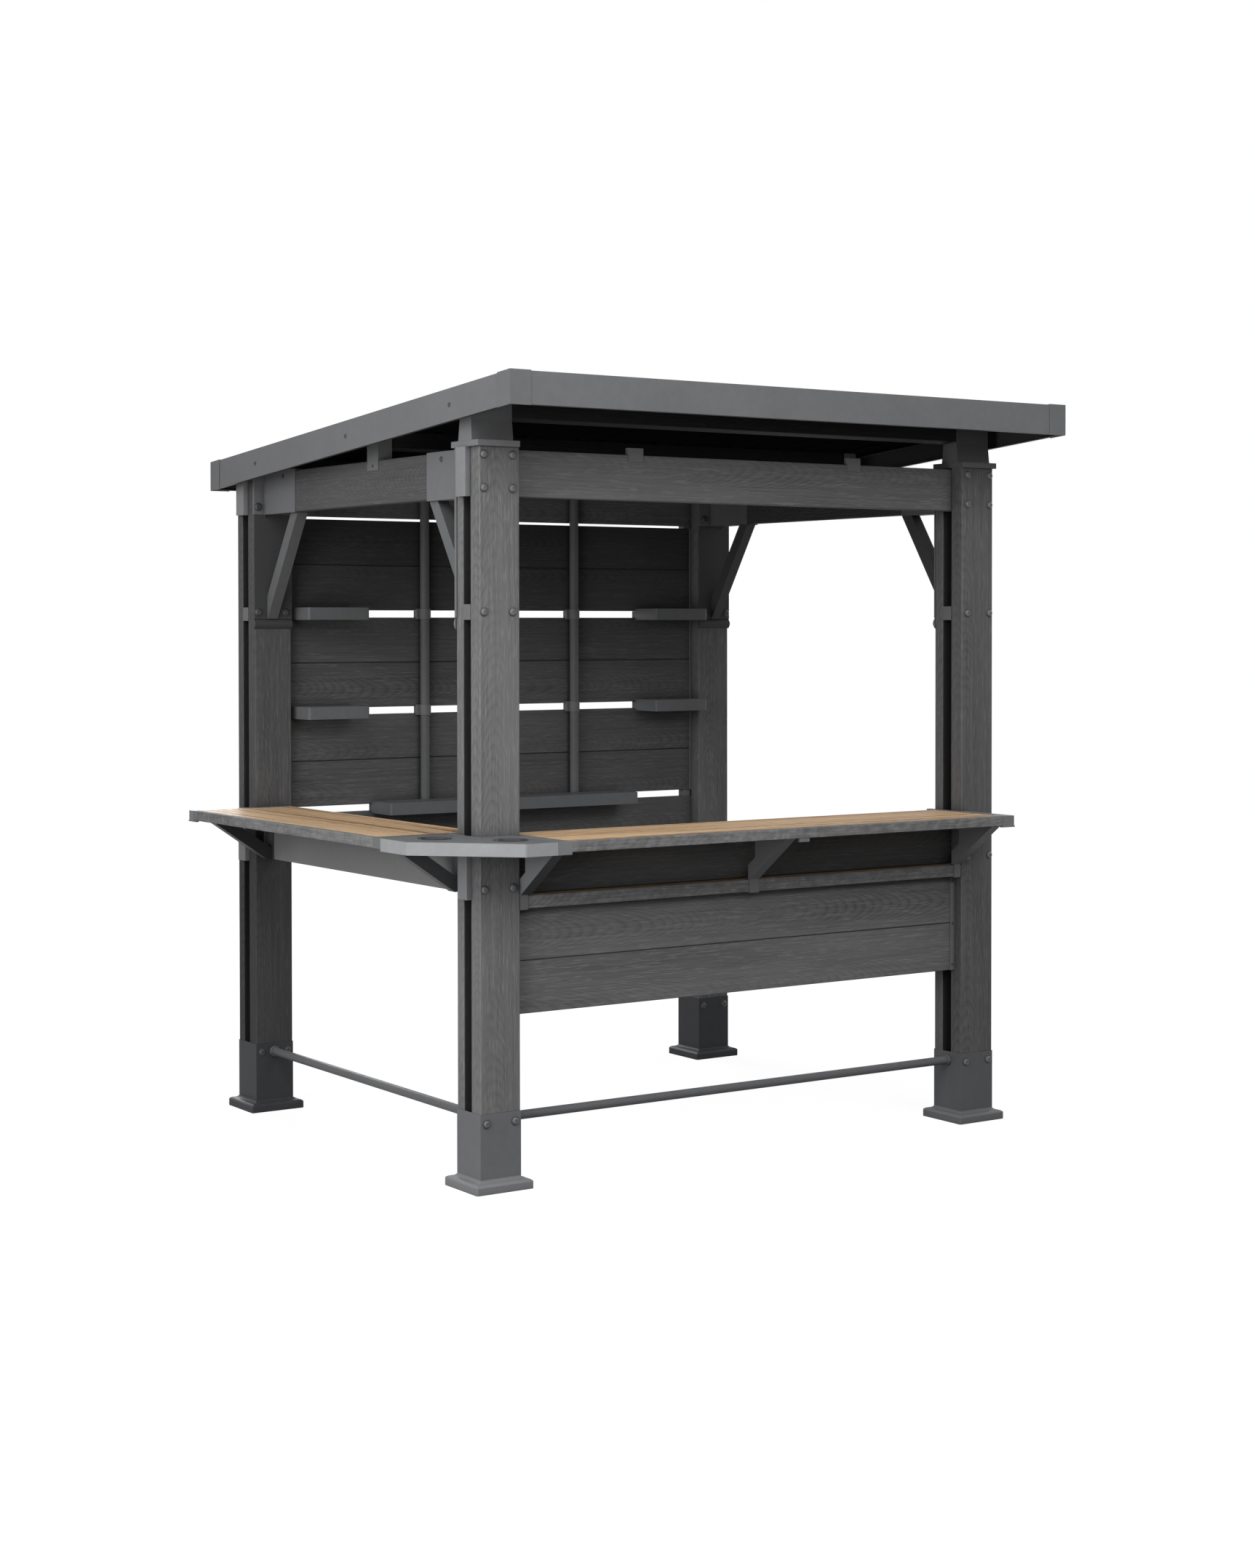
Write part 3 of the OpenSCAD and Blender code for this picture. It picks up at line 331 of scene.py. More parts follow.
def board_material(name, node, grain, face, tones, cuts=(), seed=0.0, lift=1.0, arch=0.030,
                   bow=26.0, aside=0.0, wander=0.035, stripe=0.0, hewn=0.0, gloss=0.62,
                   relief=0.55, painted_shade_heights=None, painted_slot_shade_depth=None):
    """Stained wood for one node's boards, from a dark, a middle and a light tone."""
    wood = BoardRecipe(name, node, grain, face, cuts, seed)
    dark, mid, light = (shade(tone, lift) for tone in tones)
    rings = ring_tone(wood, arch, bow, aside, wander)
    fibres = wood.ramp(wood.stretched(*FIBRES), [(0.28, 0.0), (0.72, 1.0)])
    pores = wood.ramp(wood.stretched(*PORES), [(0.57, 0.0), (0.66, 1.0)])
    cloud = wood.ramp(wood.stretched(*CLOUDS), [(0.3, 0.0), (0.7, 1.0)])

    grain_level = wood.math("MULTIPLY_ADD", rings, 0.48, wood.math("MULTIPLY", fibres, 0.52))
    colour = wood.mix(grain_level, dark, mid)
    colour = wood.mix(wood.math("MULTIPLY_ADD", cloud, 0.30, 0.12), colour, light)
    if stripe:
        bands = wood.ramp(wood.stretched(*STRIPES), STRIPE_BANDS)
        colour = wood.lay(colour, bands, stripe, dark)
    colour = wood.lay(colour, pores, 0.45, light)
    own_tone = wood.math("SINE", wood.math("MULTIPLY", wood.board, TONE_STEP))
    colour = wood.mix(wood.math("MULTIPLY_ADD", own_tone, 0.07, 0.08), colour, dark)
    height = wood.math("MULTIPLY_ADD", fibres, 0.6, wood.math("MULTIPLY", pores, -0.5))
    height = wood.math("MULTIPLY_ADD", rings, 0.5, height)

    # painted shade: darker between the two heights
    if painted_shade_heights:
        (shade_begins, shade_full), share = painted_shade_heights
        way = wood.math("DIVIDE", wood.math("SUBTRACT", wood.above_floor, shade_begins), shade_full - shade_begins)
        colour = wood.mix(wood.ramp(way, [(0.0, 0.0), (1.0, share)]), colour, shade(dark, 0.3))
    # painted shade: the face inside a joint nearly black
    if painted_slot_shade_depth is not None:
        away = wood.math("ABSOLUTE", wood.math("SUBTRACT", wood.depth, painted_slot_shade_depth))
        colour = wood.lay(colour, wood.math("LESS_THAN", away, 0.001), 0.75, shade(dark, 0.2))
    if hewn:
        scallops = wood.ramp(wood.stretched(*SCALLOPS), [(0.3, 0.0), (0.7, 1.0)])
        colour = wood.lay(colour, scallops, 0.5 * hewn, dark)
        height = wood.math("MULTIPLY_ADD", scallops, 5.0 * hewn, height)
    if wood.joint is not None:
        line = wood.ramp(wood.joint, JOINT_LINE)
        colour = wood.lay(colour, line, 0.75, shade(dark, 0.4))
        height = wood.math("MULTIPLY_ADD", line, -3.0, height)

    # rounded edges; their lighter colour is partly wear and partly a painted highlight
    rounded, worn_and_highlit = edges(wood, BOARD_EDGE)
    colour = wood.lay(colour, worn_and_highlit, 0.45, shade(light, 1.25))
    # painted shade: darker in corners and beside neighbouring parts
    colour = painted_corner_shade(wood, colour, BOARD_CORNER, 0.70, shade(dark, 0.25))
    wood.feed(wood.shader.inputs["Base Color"], colour)
    rough = wood.math("MULTIPLY_ADD", fibres, 0.16, gloss - 0.08)
    wood.feed(wood.shader.inputs["Roughness"], rough)
    wood.feed(wood.shader.inputs["Normal"], wood.bump(height, relief, BOARD_BUMP, rounded))
    wood.shader.inputs["Specular IOR Level"].default_value = WOOD_SHINE
    return wood.material


print("noises in a plain board:", len(RING_BENDS) + 4)

# %% [markdown]
# ## Posts
# Each post is two boards that stand face to face, with a narrow slot between
# them. Their fibres run along Z. One material for all would put the same arches
# on every post, so each board has a material with its own seed. A stain never
# takes evenly, so each post has its own lightness, which also carries painted
# light and shade: lighter on the front left post, darker on the rear left one.
# The low part of the rear left post, in the counter's shade, is painted darker
# as shade, and the faces in the slots are painted nearly black as shade.

# %% Charcoal post boards
CHARCOAL = ((0.036, 0.036, 0.037), (0.140, 0.140, 0.142), (0.190, 0.190, 0.192))
# each post's lightness: partly the stain's own unevenness, partly painted light and shade
POST_TONE_AND_LIGHT = {"front_left": 1.16, "front_right": 0.94, "rear_left": 0.74, "rear_right": 1.0}
# painted shade on the low part of the rear left post, under the counter
UNDER_COUNTER = ((1.06, 0.80), 0.42)

post_boards = [name for name in sorted(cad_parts) if name.startswith("board_")]
for i, name in enumerate(post_boards):
    post = next(post for post in POST_TONE_AND_LIGHT if post in name)
    low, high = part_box(name)
    # the slot faces and the rear left post's low part take painted shade
    paint([name], board_material("stain_" + name, name, "Z", "Y", CHARCOAL, seed=i * 1.37,
                                 lift=POST_TONE_AND_LIGHT[post], arch=0.038, bow=40.0, aside=0.02,
                                 painted_slot_shade_depth=high.y if name.endswith("_a") else low.y,
                                 painted_shade_heights=UNDER_COUNTER if post == "rear_left" else None))
print("post boards painted:", len(post_boards))

# %% [markdown]
# ## Beams and purlins
# Beams lie along X or Y, and so does their grain. The purlins and the wall's
# beam sit in the dark under the roof and the counter, so their lightness is
# turned down the most, as painted shade.

# %% Beams and purlins
# each beam's lift: the low ones of the purlins and the wall's beam are painted shade
LONG_BEAMS = (("beam_front", 0.98), ("beam_rear", 0.9), ("bar_beam", 0.85), ("wall_beam", 0.75),
              ("purlin_front", 0.2), ("purlin_middle", 0.15), ("purlin_rear", 0.15))
for i, (name, lift) in enumerate(LONG_BEAMS):
    paint([name], board_material("stain_" + name, name, "X", "Y", CHARCOAL, seed=4.1 + i * 2.13,
                                 lift=lift, arch=0.042, bow=42.0))
SIDE_BEAMS = (("beam_left", 0.66), ("beam_right", 0.55))
for i, (name, lift) in enumerate(SIDE_BEAMS):
    paint([name], board_material("stain_" + name, name, "Y", "X", CHARCOAL, seed=2.6 + i * 1.71,
                                 lift=lift))
print("beams and purlins painted:", len(LONG_BEAMS) + len(SIDE_BEAMS))

# %% [markdown]
# ## Edge strips
# The strips along the counters' rims and the ledge aren't planed smooth. The
# dents could be cut into their meshes, but they are only a millimetre deep, so
# the recipe's shorter noise lifts and darkens the surface instead.

# %% Hewn edge strips
EDGE_STRIPS = (
    # node, grain, face, seed, lift, how strongly it is hewn
    ("edge_front", "X", "Y", 1.3, 1.62, 1.0),
    ("ledge_edge", "X", "Y", 7.7, 1.45, 0.9),
    ("edge_side", "Y", "X", 3.9, 1.65, 1.0),
)
for name, grain, face, seed, lift, hewn in EDGE_STRIPS:
    paint([name], board_material("stain_" + name, name, grain, face, CHARCOAL, seed=seed,
                                 lift=lift, hewn=hewn))
print("edge strips painted:", len(EDGE_STRIPS))

# %% [markdown]
# ## Panel and back wall
# The front panel is two boards, one above the other. The back wall is three
# rows of two boards, with a gap above each row that hooks can hang in. Each of
# The wall's upper boards are painted darker towards the roof, as its shade, and
# the whole wall is painted a little darker as shade.
# The roof shelters the wall's upper boards, so the stain is deeper there.

# %% Panel and back wall
WALL_ROW, WALL_SPACE, WALL_ROWS = 0.3248, 0.026, 3

low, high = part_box("panel_boards")
paint(["panel_boards"], board_material("stain_panel_boards", "panel_boards", "X", "Y", CHARCOAL,
                                       cuts=[(low.z + high.z) / 2], seed=8.9, lift=1.06,
                                       wander=0.10, arch=0.042, bow=42.0))
low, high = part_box("wall_boards")
wall_cuts = []
for row in range(WALL_ROWS):
    foot = low.z + row * (WALL_ROW + WALL_SPACE)
    wall_cuts += [foot + WALL_ROW / 2, foot + WALL_ROW + WALL_SPACE / 2]
wall_cuts.pop()  # there is no board above the last gap
# painted shade: the wall darker overall, and darker still between the two heights towards the roof
paint(["wall_boards"], board_material("stain_wall_boards", "wall_boards", "X", "Y", CHARCOAL,
                                      cuts=wall_cuts, seed=5.3, lift=0.76, wander=0.06,
                                      arch=0.038, bow=38.0, painted_shade_heights=((1.45, 2.05), 0.62)))
print("cuts in the wall at", [round(cut, 3) for cut in wall_cuts])

# %% [markdown]
# ## Counter planks
# The tops are light brown boards with a straight grain and broad darker
# stripes. A second recipe isn't needed: with warmer tones, rings that are cut
# much flatter, stripes and less relief, the same one gives an oiled plank. Each
# counter is four planks of one width, so their cuts come from the node's box.

# %% Light brown planks
OAK = ((0.170, 0.093, 0.043), (0.520, 0.364, 0.220), (0.680, 0.500, 0.325))
PLANK_COUNT = 4


def oak_planks(node, grain, cuts, stripe, lift, seed):
    paint([node], board_material("oak_" + node, node, grain, "Z", OAK, cuts=cuts, stripe=stripe,
                                 lift=lift, seed=seed, arch=0.06, bow=160.0, gloss=0.5, relief=0.3))


def plank_cuts(node, axis):
    """Where the joints between a counter's planks are."""
    low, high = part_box(node)
    width = (high[axis] - low[axis]) / PLANK_COUNT
    return [low[axis] + width * i for i in range(1, PLANK_COUNT)]


oak_planks("planks_front", "X", plank_cuts("planks_front", AXIS["Y"]),
           stripe=0.95, lift=1.36, seed=1.9)
oak_planks("planks_side", "Y", plank_cuts("planks_side", AXIS["X"]),
           stripe=0.9, lift=1.30, seed=6.4)
oak_planks("ledge", "X", (), stripe=0.6, lift=0.7, seed=3.3)
print("planks painted on two counters and the ledge")

# %% [markdown]
# ## Powder-coated metal
# Powder paint melts into a skin with a very fine orange peel. Its shine is
# soft and a little uneven. Two noises do that: a large, faint one for the
# tone, and a tiny one for the peel, which only tilts the surface. A rounded,
# slightly rubbed edge is what makes folded sheet look like sheet, so the edge
# helper is used here too, with a smaller radius than on wood. Its lighter edge
# is partly rubbed coat and partly a painted highlight.
#
# A coat also differs from place to place. One option paints faces that look
# down darker, as shade. Another makes one part of the bar darker or lighter:
# the coat's own tone on the counter's joint profile, and painted light and
# shade everywhere else it is used.

# %% The metal recipe
UNEVEN = 0.10
PEEL, PEEL_SCALE, PEEL_BUMP = 0.25, 900.0, 0.0004
SHEET_CORNER = 0.025
ANYWHERE = (-1.0, 3.0)  # from before the bar to past it, on any axis


def part_of(x=ANYWHERE, y=ANYWHERE, z=ANYWHERE):
    """The corners of a part of the bar, measured from the front left post's outer corner."""
    return at(x[0], y[0], z[0]), at(x[1], y[1], z[1])


def coated_metal(name, colour, gloss=0.5, radius=0.0015, shine=0.10, underside=None, patch=None):
    """A powder coat, with painted light and shade where asked. The patch is two corners of a box,
    and its tone's share of the colour.
    """
    coat = Recipe(name)
    large = coat.noise(coat.place, 3.1, 3.0, 0.55)
    dusty = coat.noise(coat.place, 38.0, 3.0, 0.6)
    clouds = coat.math("MULTIPLY_ADD", dusty, 0.4, coat.math("MULTIPLY", large, 0.6))
    tone = coat.mix(coat.ramp(clouds, [(0.3, 0.0), (0.7, 1.0)]),
                    shade(colour, 1 - UNEVEN), shade(colour, 1 + UNEVEN))
    # painted shade on faces that look down
    if underside:
        up = coat.parts(coat.add("ShaderNodeNewGeometry").outputs["True Normal"])[2]
        tone = coat.mix(coat.math("LESS_THAN", up, -0.2), tone, underside)
    # a tone in one part of the bar: painted light and shade in most coats, the coat's own tone on
    # the joint profile
    if patch:
        (least, most), share = patch
        inside = 1.0
        for place, a, b in zip(coat.parts(coat.place), least, most):
            inside = coat.math("MULTIPLY", coat.math("GREATER_THAN", place, a), inside)
            inside = coat.math("MULTIPLY", coat.math("LESS_THAN", place, b), inside)
        tone = coat.mix(inside, tone, shade(colour, share))
    rounded = None
    if radius:
        # rounded edges; their lighter colour is partly rubbed coat and partly a painted highlight
        rounded, worn_and_highlit = edges(coat, radius)
        tone = coat.lay(tone, worn_and_highlit, 0.55, shade(colour, 1.5))
    # painted shade: darker in corners and beside neighbouring parts
    tone = painted_corner_shade(coat, tone, SHEET_CORNER, 0.55, shade(colour, 0.2))
    peel = coat.noise(coat.place, PEEL_SCALE)
    coat.feed(coat.shader.inputs["Base Color"], tone)
    rough = coat.math("MULTIPLY_ADD", dusty, 0.12, gloss - 0.06)
    coat.feed(coat.shader.inputs["Roughness"], rough)
    coat.feed(coat.shader.inputs["Normal"], coat.bump(peel, PEEL, PEEL_BUMP, rounded))
    coat.shader.inputs["Specular IOR Level"].default_value = shine
    return coat.material


def coat_nodes(nodes, name, colour, **settings):
    """Makes a coat, puts it on the nodes and gives it back."""
    material = coated_metal(name, colour, **settings)
    paint(nodes, material)
    return material


print("a coat's peel is", PEEL_BUMP, "m high")

# %% [markdown]
# ## Coats of the frame's fittings
# All the coats are near-neutral greys, as one workshop would use them. Blocks,
# clips, shoes and clamps share one grey, and the caps on the beams' ends have a
# lighter one, made lighter still as painted light. The plates of the rear
# sockets, which hang below the beams, and the braces and the riser on the far
# side are painted darker as shade.

# %% Coats of the fittings
BEAM_FOOT = 2.092  # just below the underside of the beams
FAR_SIDE = (1.0, 3.0)

grey_coat = coat_nodes(["slot_blocks", "purlin_shoes", "beam_clips", "panel_channels",
                        "ledge_clamps", "rail_collars", "wall_channels", "bar_clamps"],
                       "grey_coat", (0.124, 0.126, 0.130))
# partly the caps' own lighter grey, partly painted light
coat_nodes(["beam_end_caps", "bar_end_caps"], "cap_coat", (0.185, 0.188, 0.193))
# painted shade on the rear plates below the beams
coat_nodes(["brace_sockets_left", "brace_sockets_right"], "socket_coat", (0.126, 0.128, 0.132),
           patch=(part_of(y=(1.2, 3.0), z=(-1.0, BEAM_FOOT)), 0.38))
# painted shade on the braces of the far side
coat_nodes(["braces"], "brace_coat", (0.105, 0.107, 0.110), patch=(part_of(x=FAR_SIDE), 0.55))
# painted shade on the riser of the far side
coat_nodes(["riser_left", "riser_right", "rear_pads"], "riser_coat", (0.145, 0.147, 0.151),
           radius=0.002, patch=(part_of(x=FAR_SIDE, y=(-1.0, 1.0)), 0.72))
print("fittings coated")

# %% [markdown]
# ## Coats of the roof
# The fascia is grey sheet, and all that lies behind its outer skin is painted
# dark as shade. The roof sheets are the darkest, and their undersides are
# painted nearly black as shade. They are matt and weathered, so they have no
# shine and no lighter edges.

# %% Coats of the roof
SKIN = Vector((0.001, 0.001, 0.0))
ROOF_TOP = 3.0

fascia_low = Vector((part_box("fascia_left")[0].x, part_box("fascia_front")[0].y, 0.0))
fascia_high = Vector((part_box("fascia_right")[1].x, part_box("fascia_rear")[1].y, ROOF_TOP))
# painted shade: all behind the fascia's outer skin is darker
coat_nodes(["fascia_front", "fascia_rear", "fascia_left", "fascia_right"], "fascia_coat",
           (0.122, 0.124, 0.128), gloss=0.46,
           patch=((fascia_low + SKIN, fascia_high - SKIN), 0.33))
coat_nodes(["fascia_corners"], "corner_coat", (0.118, 0.120, 0.124), gloss=0.46)
# painted shade: the roof sheets' undersides nearly black
roof_coat = coat_nodes(["roof_sheets"], "roof_coat", (0.100, 0.102, 0.105), gloss=0.6, radius=0,
                       shine=0.0, underside=(0.008, 0.008, 0.009))
print("fascia from", [round(c, 3) for c in fascia_low], "to", [round(c, 3) for c in fascia_high])

# %% [markdown]
# ## Coats of the counter
# The corner tray is the lightest metal. It is folded from thicker sheet, so its
# edges get a larger radius. Its top, from just under the top face upwards, is
# painted darker as shade. The rims of the cup holes are painted near-black as
# the shade in the holes. The joint beside the tray on the side counter is
# darker than the other profiles. The front brackets' coat is painted light for
# the near, lit bracket, and darker as shade on the brackets that stand away
# from the light and on their undersides. The side brackets are painted dark
# all over as shade, the rear one darker still.

# %% Coats of the counter
TRAY_SHOULDER = 1.0655

# painted shade: the tray's top darker
tray_coat = coat_nodes(["corner_tray"], "tray_coat", (0.252, 0.257, 0.264), gloss=0.45,
                       radius=0.003, shine=0.06,
                       patch=(part_of(z=(TRAY_SHOULDER, 3.0)), 0.56))
# painted shade: the rims' near-black coat stands for the shadow in the cup holes
rim_shade_coat = coated_metal("rim_shade_coat", (0.036, 0.037, 0.039), gloss=0.40, radius=0.001, shine=0.16)
coat_nodes(["counter_ends"], "profile_coat", (0.160, 0.163, 0.168), gloss=0.45, radius=0.002,
           patch=(part_of(x=(-1.0, 0.0), y=(-1.0, 0.230)), 0.72))
# painted light and shade: lighter for the near, lit bracket, darker undersides and far brackets
coat_nodes(["brackets_front"], "arm_coat", (0.165, 0.168, 0.172),
           underside=(0.030, 0.031, 0.033), patch=(part_of(x=(0.5, 3.0)), 0.78))
# painted shade: the side brackets dark, the rear one darker
coat_nodes(["brackets_side"], "side_arm_coat", (0.060, 0.061, 0.064),
           patch=(part_of(y=(0.9, 3.0)), 0.45))
coat_nodes(["apron"], "apron_coat", (0.175, 0.178, 0.182))
print("counter coated")

# %% [markdown]
# ## Coats of the shelves, rails and bolts
# Round bars have no edge to wear or to take a painted highlight, so their coats
# leave the edge step out. The wall bars are painted darker than the foot rails,
# as shade. The bolts' domes have a glossier coat that catches small highlights.
# Those behind the front faces are painted darker as shade. The screws and the
# bolts' washers share a near-black coat, painted as the shade in the screws'
# recesses and round the domes.

# %% Coats of the shelves, rails and bolts
coat_nodes(["shelves"], "shelf_coat", (0.105, 0.108, 0.112))
coat_nodes(["foot_rails"], "rail_coat", (0.108, 0.110, 0.114), radius=0)
# painted shade: the wall bars darker than the foot rails
coat_nodes(["wall_bars"], "bar_coat", (0.098, 0.100, 0.103), radius=0)
# painted shade: the bolts behind the front faces darker
bolt_coat = coat_nodes(["post_bolts"], "bolt_coat", (0.115, 0.117, 0.121), gloss=0.40,
                       radius=0.0008, shine=0.30, patch=(part_of(y=(0.1, 3.0)), 0.42))
# painted shade: near-black for the screws' recesses and round the bolts' domes
screw_shade_coat = coated_metal("screw_shade_coat", (0.035, 0.036, 0.038), gloss=0.4, radius=0.0005, shine=0.3)
print("shelves, rails and bolts coated")

# %% [markdown]
# ## Bases
# The four bases are the same casting. Each gets its own depth of tone as
# painted light and shade: darker on the front right one, and darkest on the
# rear ones, which stand in the shade. The sloping flange at the foot of the
# front ones is painted lighter, as the light it catches.

# %% Coats of the bases
# painted highlight on the sloping flange of the front bases
PAINTED_FLANGE_LIGHT = (part_of(z=(-1.0, 0.040)), 1.35)
# each base's tone is painted light and shade: darker to the right, darkest at the rear
BASES = (
    ("base_front_left", "base_coat_near", (0.126, 0.128, 0.132), PAINTED_FLANGE_LIGHT),
    ("base_front_right", "base_coat_right", (0.095, 0.097, 0.101), PAINTED_FLANGE_LIGHT),
    ("base_rear_left", "base_coat_rear", (0.042, 0.043, 0.046), None),
    ("base_rear_right", "base_coat_far", (0.041, 0.042, 0.045), None),
)
for node, name, colour, patch in BASES:
    coat_nodes([node], name, colour, radius=0.002, patch=patch)
print("bases coated:", len(BASES))

# %% [markdown]
# ## Camera
# The photograph was taken from the left, at about eye height, with a rather
# long lens. The place, the tilt and the lens below were solved from the bar's
# own straight edges, so the render can be laid over the photograph. The lens
# looks at a row above the picture's middle. Tilting the camera down to the
# middle would make the posts lean together, so the lens is shifted instead.

# %% Camera
LENS_PX, FRAME_PX, CENTRE_ROW_PX = 3440.75, 2156, 919.93
SENSOR_MM = 36

camera_data = bpy.data.cameras.new("camera")
camera = bpy.data.objects.new("camera", camera_data)
bpy.context.scene.collection.objects.link(camera)
camera.location = (-4.74647, -7.17788, 1.70331)
camera.rotation_euler = (math.radians(90 - 1.0033), math.radians(0.0555), math.radians(-33.9948))
camera_data.sensor_width = SENSOR_MM
camera_data.lens = LENS_PX / FRAME_PX * SENSOR_MM
camera_data.shift_y = -(FRAME_PX / 2 - CENTRE_ROW_PX) / FRAME_PX
camera_data.clip_end = 200
bpy.context.scene.camera = camera
print("lens:", round(camera_data.lens, 1), "mm")

# %% [markdown]
# ## Floor
# The bar stands on a plain pale floor in a white room. A bright floor would
# throw light up under the roof and the counters, which are nearly black in the
# photograph. So the floor's own colour is only a dark grey that keeps the
# shadow, and an even white is added where the camera or a reflection looks at
# it. The added white is a little less round the bar, where the lamps add their
# own light.

# %% Floor
FLOOR_SIZE, FLOOR_DROP = 60, 0.0005
FLOOR_GREY = (0.10, 0.10, 0.10, 1)
WHITE_REACH = 10.0

bpy.ops.object.select_all(action="DESELECT")
bpy.ops.mesh.primitive_plane_add(size=FLOOR_SIZE, location=(0, 0, -FLOOR_DROP))
floor = bpy.context.object
floor.name = "floor"
floor_look = Recipe("floor_look")
floor_look.tree.nodes.remove(floor_look.shader)
soft = floor_look.add("ShaderNodeBsdfDiffuse")
soft.inputs["Color"].default_value = FLOOR_GREY
lit = floor_look.add("ShaderNodeEmission")
lit.inputs["Color"].default_value = (1, 1, 1, 1)
seen = floor_look.add("ShaderNodeLightPath")
shown = floor_look.math("MAXIMUM", seen.outputs["Is Camera Ray"], seen.outputs["Is Glossy Ray"])
shown = floor_look.math("MAXIMUM", shown, seen.outputs["Is Transmission Ray"])
x, y, _ = floor_look.parts(floor_look.place)
squares = floor_look.math("MULTIPLY_ADD", x, x, floor_look.math("MULTIPLY", y, y))
away = floor_look.math("DIVIDE", floor_look.math("SQRT", squares), WHITE_REACH)
white = floor_look.ramp(away, [(0.15, 0.93), (0.8, 1.0)])
floor_look.feed(lit.inputs["Strength"], floor_look.math("MULTIPLY", shown, white))
total = floor_look.add("ShaderNodeAddShader")
floor_look.feed(total.inputs[0], soft.outputs[0])
floor_look.feed(total.inputs[1], lit.outputs[0])
floor_look.feed(floor_look.tree.nodes["Material Output"].inputs["Surface"], total.outputs[0])
floor.data.materials.append(floor_look.material)
print("floor:", [round(c, 1) for c in floor.dimensions])

# %% [markdown]
# ## World
# The room behind the bar is white to the camera and to reflections. As a lamp,
# an even white world would fill every shadow, so its light on the bar is kept
# to a small part of that.

# %% World
AMBIENT = 0.07

world = bpy.data.worlds.new("white_room")
bpy.context.scene.world = world
world.use_nodes = True
room = world.node_tree
paths = room.nodes.new("ShaderNodeLightPath")
either = paths.outputs["Is Camera Ray"]
for kind in ("Is Glossy Ray", "Is Transmission Ray"):
    step = room.nodes.new("ShaderNodeMath")
    step.operation = "MAXIMUM"
    room.links.new(either, step.inputs[0])
    room.links.new(paths.outputs[kind], step.inputs[1])
    either = step.outputs[0]
level = room.nodes.new("ShaderNodeMapRange")
level.inputs["To Min"].default_value = AMBIENT
level.inputs["To Max"].default_value = 1.0
room.links.new(either, level.inputs["Value"])
room.links.new(level.outputs[0], room.nodes["Background"].inputs["Strength"])
room.nodes["Background"].inputs["Color"].default_value = (1, 1, 1, 1)
print("light from the room:", AMBIENT)

# %% [markdown]
# ## Softboxes
# A product like this is lit with large soft lamps. Four stand round the corner
# with the tray, one of them low, and one hangs high in front. They stand close,
# so the far posts get less of them. A sun lamp would light all the posts alike
# and cast hard shadows. Two more softboxes, straight behind the wall and to the
# right, keep those sides readable when the camera goes round.

# %% Softboxes


def softbox(name, place, aim, size, power):
    """A square area light that points from place to aim, and that the camera doesn't see."""
    lamp = bpy.data.lights.new(name, "AREA")
    lamp.shape = "SQUARE"
    lamp.size = size
    lamp.energy = power
    holder = bpy.data.objects.new(name, lamp)
    bpy.context.scene.collection.objects.link(holder)
    holder.location = place
    holder.rotation_euler = (Vector(aim) - Vector(place)).to_track_quat("-Z", "Y").to_euler()
    holder.visible_camera = False


SOFTBOXES = (
    # name, place, aim, size, watts
    ("left_softbox", (-5.2, -0.6, 2.8), (-0.5, -0.2, 1.2), 2.8, 120),
    ("corner_softbox", (-3.6, -2.8, 4.8), (-0.5, -0.4, 1.2), 2.8, 91),
    ("near_softbox", (-2.2, -5.2, 2.8), (-0.5, -0.4, 1.2), 2.8, 63),
    ("front_softbox", (0.6, -5.0, 4.4), (0.3, 0.0, 1.2), 3.0, 166),
    ("low_softbox", (-3.6, -1.8, 0.9), (-0.8, -0.6, 0.9), 1.6, 42),
    ("back_softbox", (0.4, 5.8, 3.2), (0.0, 0.0, 1.4), 3.0, 240),
    ("right_softbox", (5.6, 0.6, 2.4), (0.5, 0.0, 1.2), 3.0, 95),
)
for settings in SOFTBOXES:
    softbox(*settings)
bpy.context.scene.view_settings.view_transform = "Standard"
print("softboxes:", len(SOFTBOXES))

# %% [markdown]
# ## Helpers for modelling
# Faces are picked by where they are and which way they look, as a person would
# click them. A new piece is put on the body `root`, which is the whole bar, and
# takes the slot of the metal that it belongs to. What repeats is made once at
# the middle of the scene. Every other is a copy with its own mesh, turned to
# the face that it sits on, and all of them are joined into one piece. An array
# modifier couldn't turn them from one post's face to another's.

# %% Helpers for modelling


def clear_selection():
    bpy.ops.object.select_all(action="DESELECT")
    bpy.context.view_layer.objects.active = None


def select_top(piece):
    """In edit mode, selects the faces that look up."""
    bpy.ops.mesh.select_mode(type="FACE")
    bpy.ops.mesh.select_all(action="DESELECT")
    shape = bmesh.from_edit_mesh(piece.data)
    for face in shape.faces:
        if face.normal.z > 0.9:
            face.select = True
    bmesh.update_edit_mesh(piece.data)


def finish_piece(piece, name, material):
    piece.name = name
    piece.data.materials.clear()
    piece.data.materials.append(material)
    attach(piece, "root")
    return piece


def spread(pattern, name, places, material):
    """Copies the pattern to places, each (point, outward direction), as one piece."""
    made = []
    for point, out in places:
        copy = pattern.copy()
        copy.data = pattern.data.copy()
        bpy.context.scene.collection.objects.link(copy)
        turn = Vector(out).to_track_quat("Z", "Y").to_matrix().to_4x4()
        copy.data.transform(Matrix.Translation(point) @ turn)
        made.append(copy)
    clear_selection()
    for copy in made:
        copy.select_set(True)
    bpy.context.view_layer.objects.active = made[0]
    bpy.ops.object.join()
    bpy.data.objects.remove(pattern)
    print(name, "has", len(places), "copies")
    return finish_piece(bpy.context.object, name, material)


def both_sides(x, y, z, out):
    """A place and its mirror image on the other side of the bar."""
    return [(at(x, y, z), out), (at(frame_w - x, y, z), (-out[0], out[1], out[2]))]


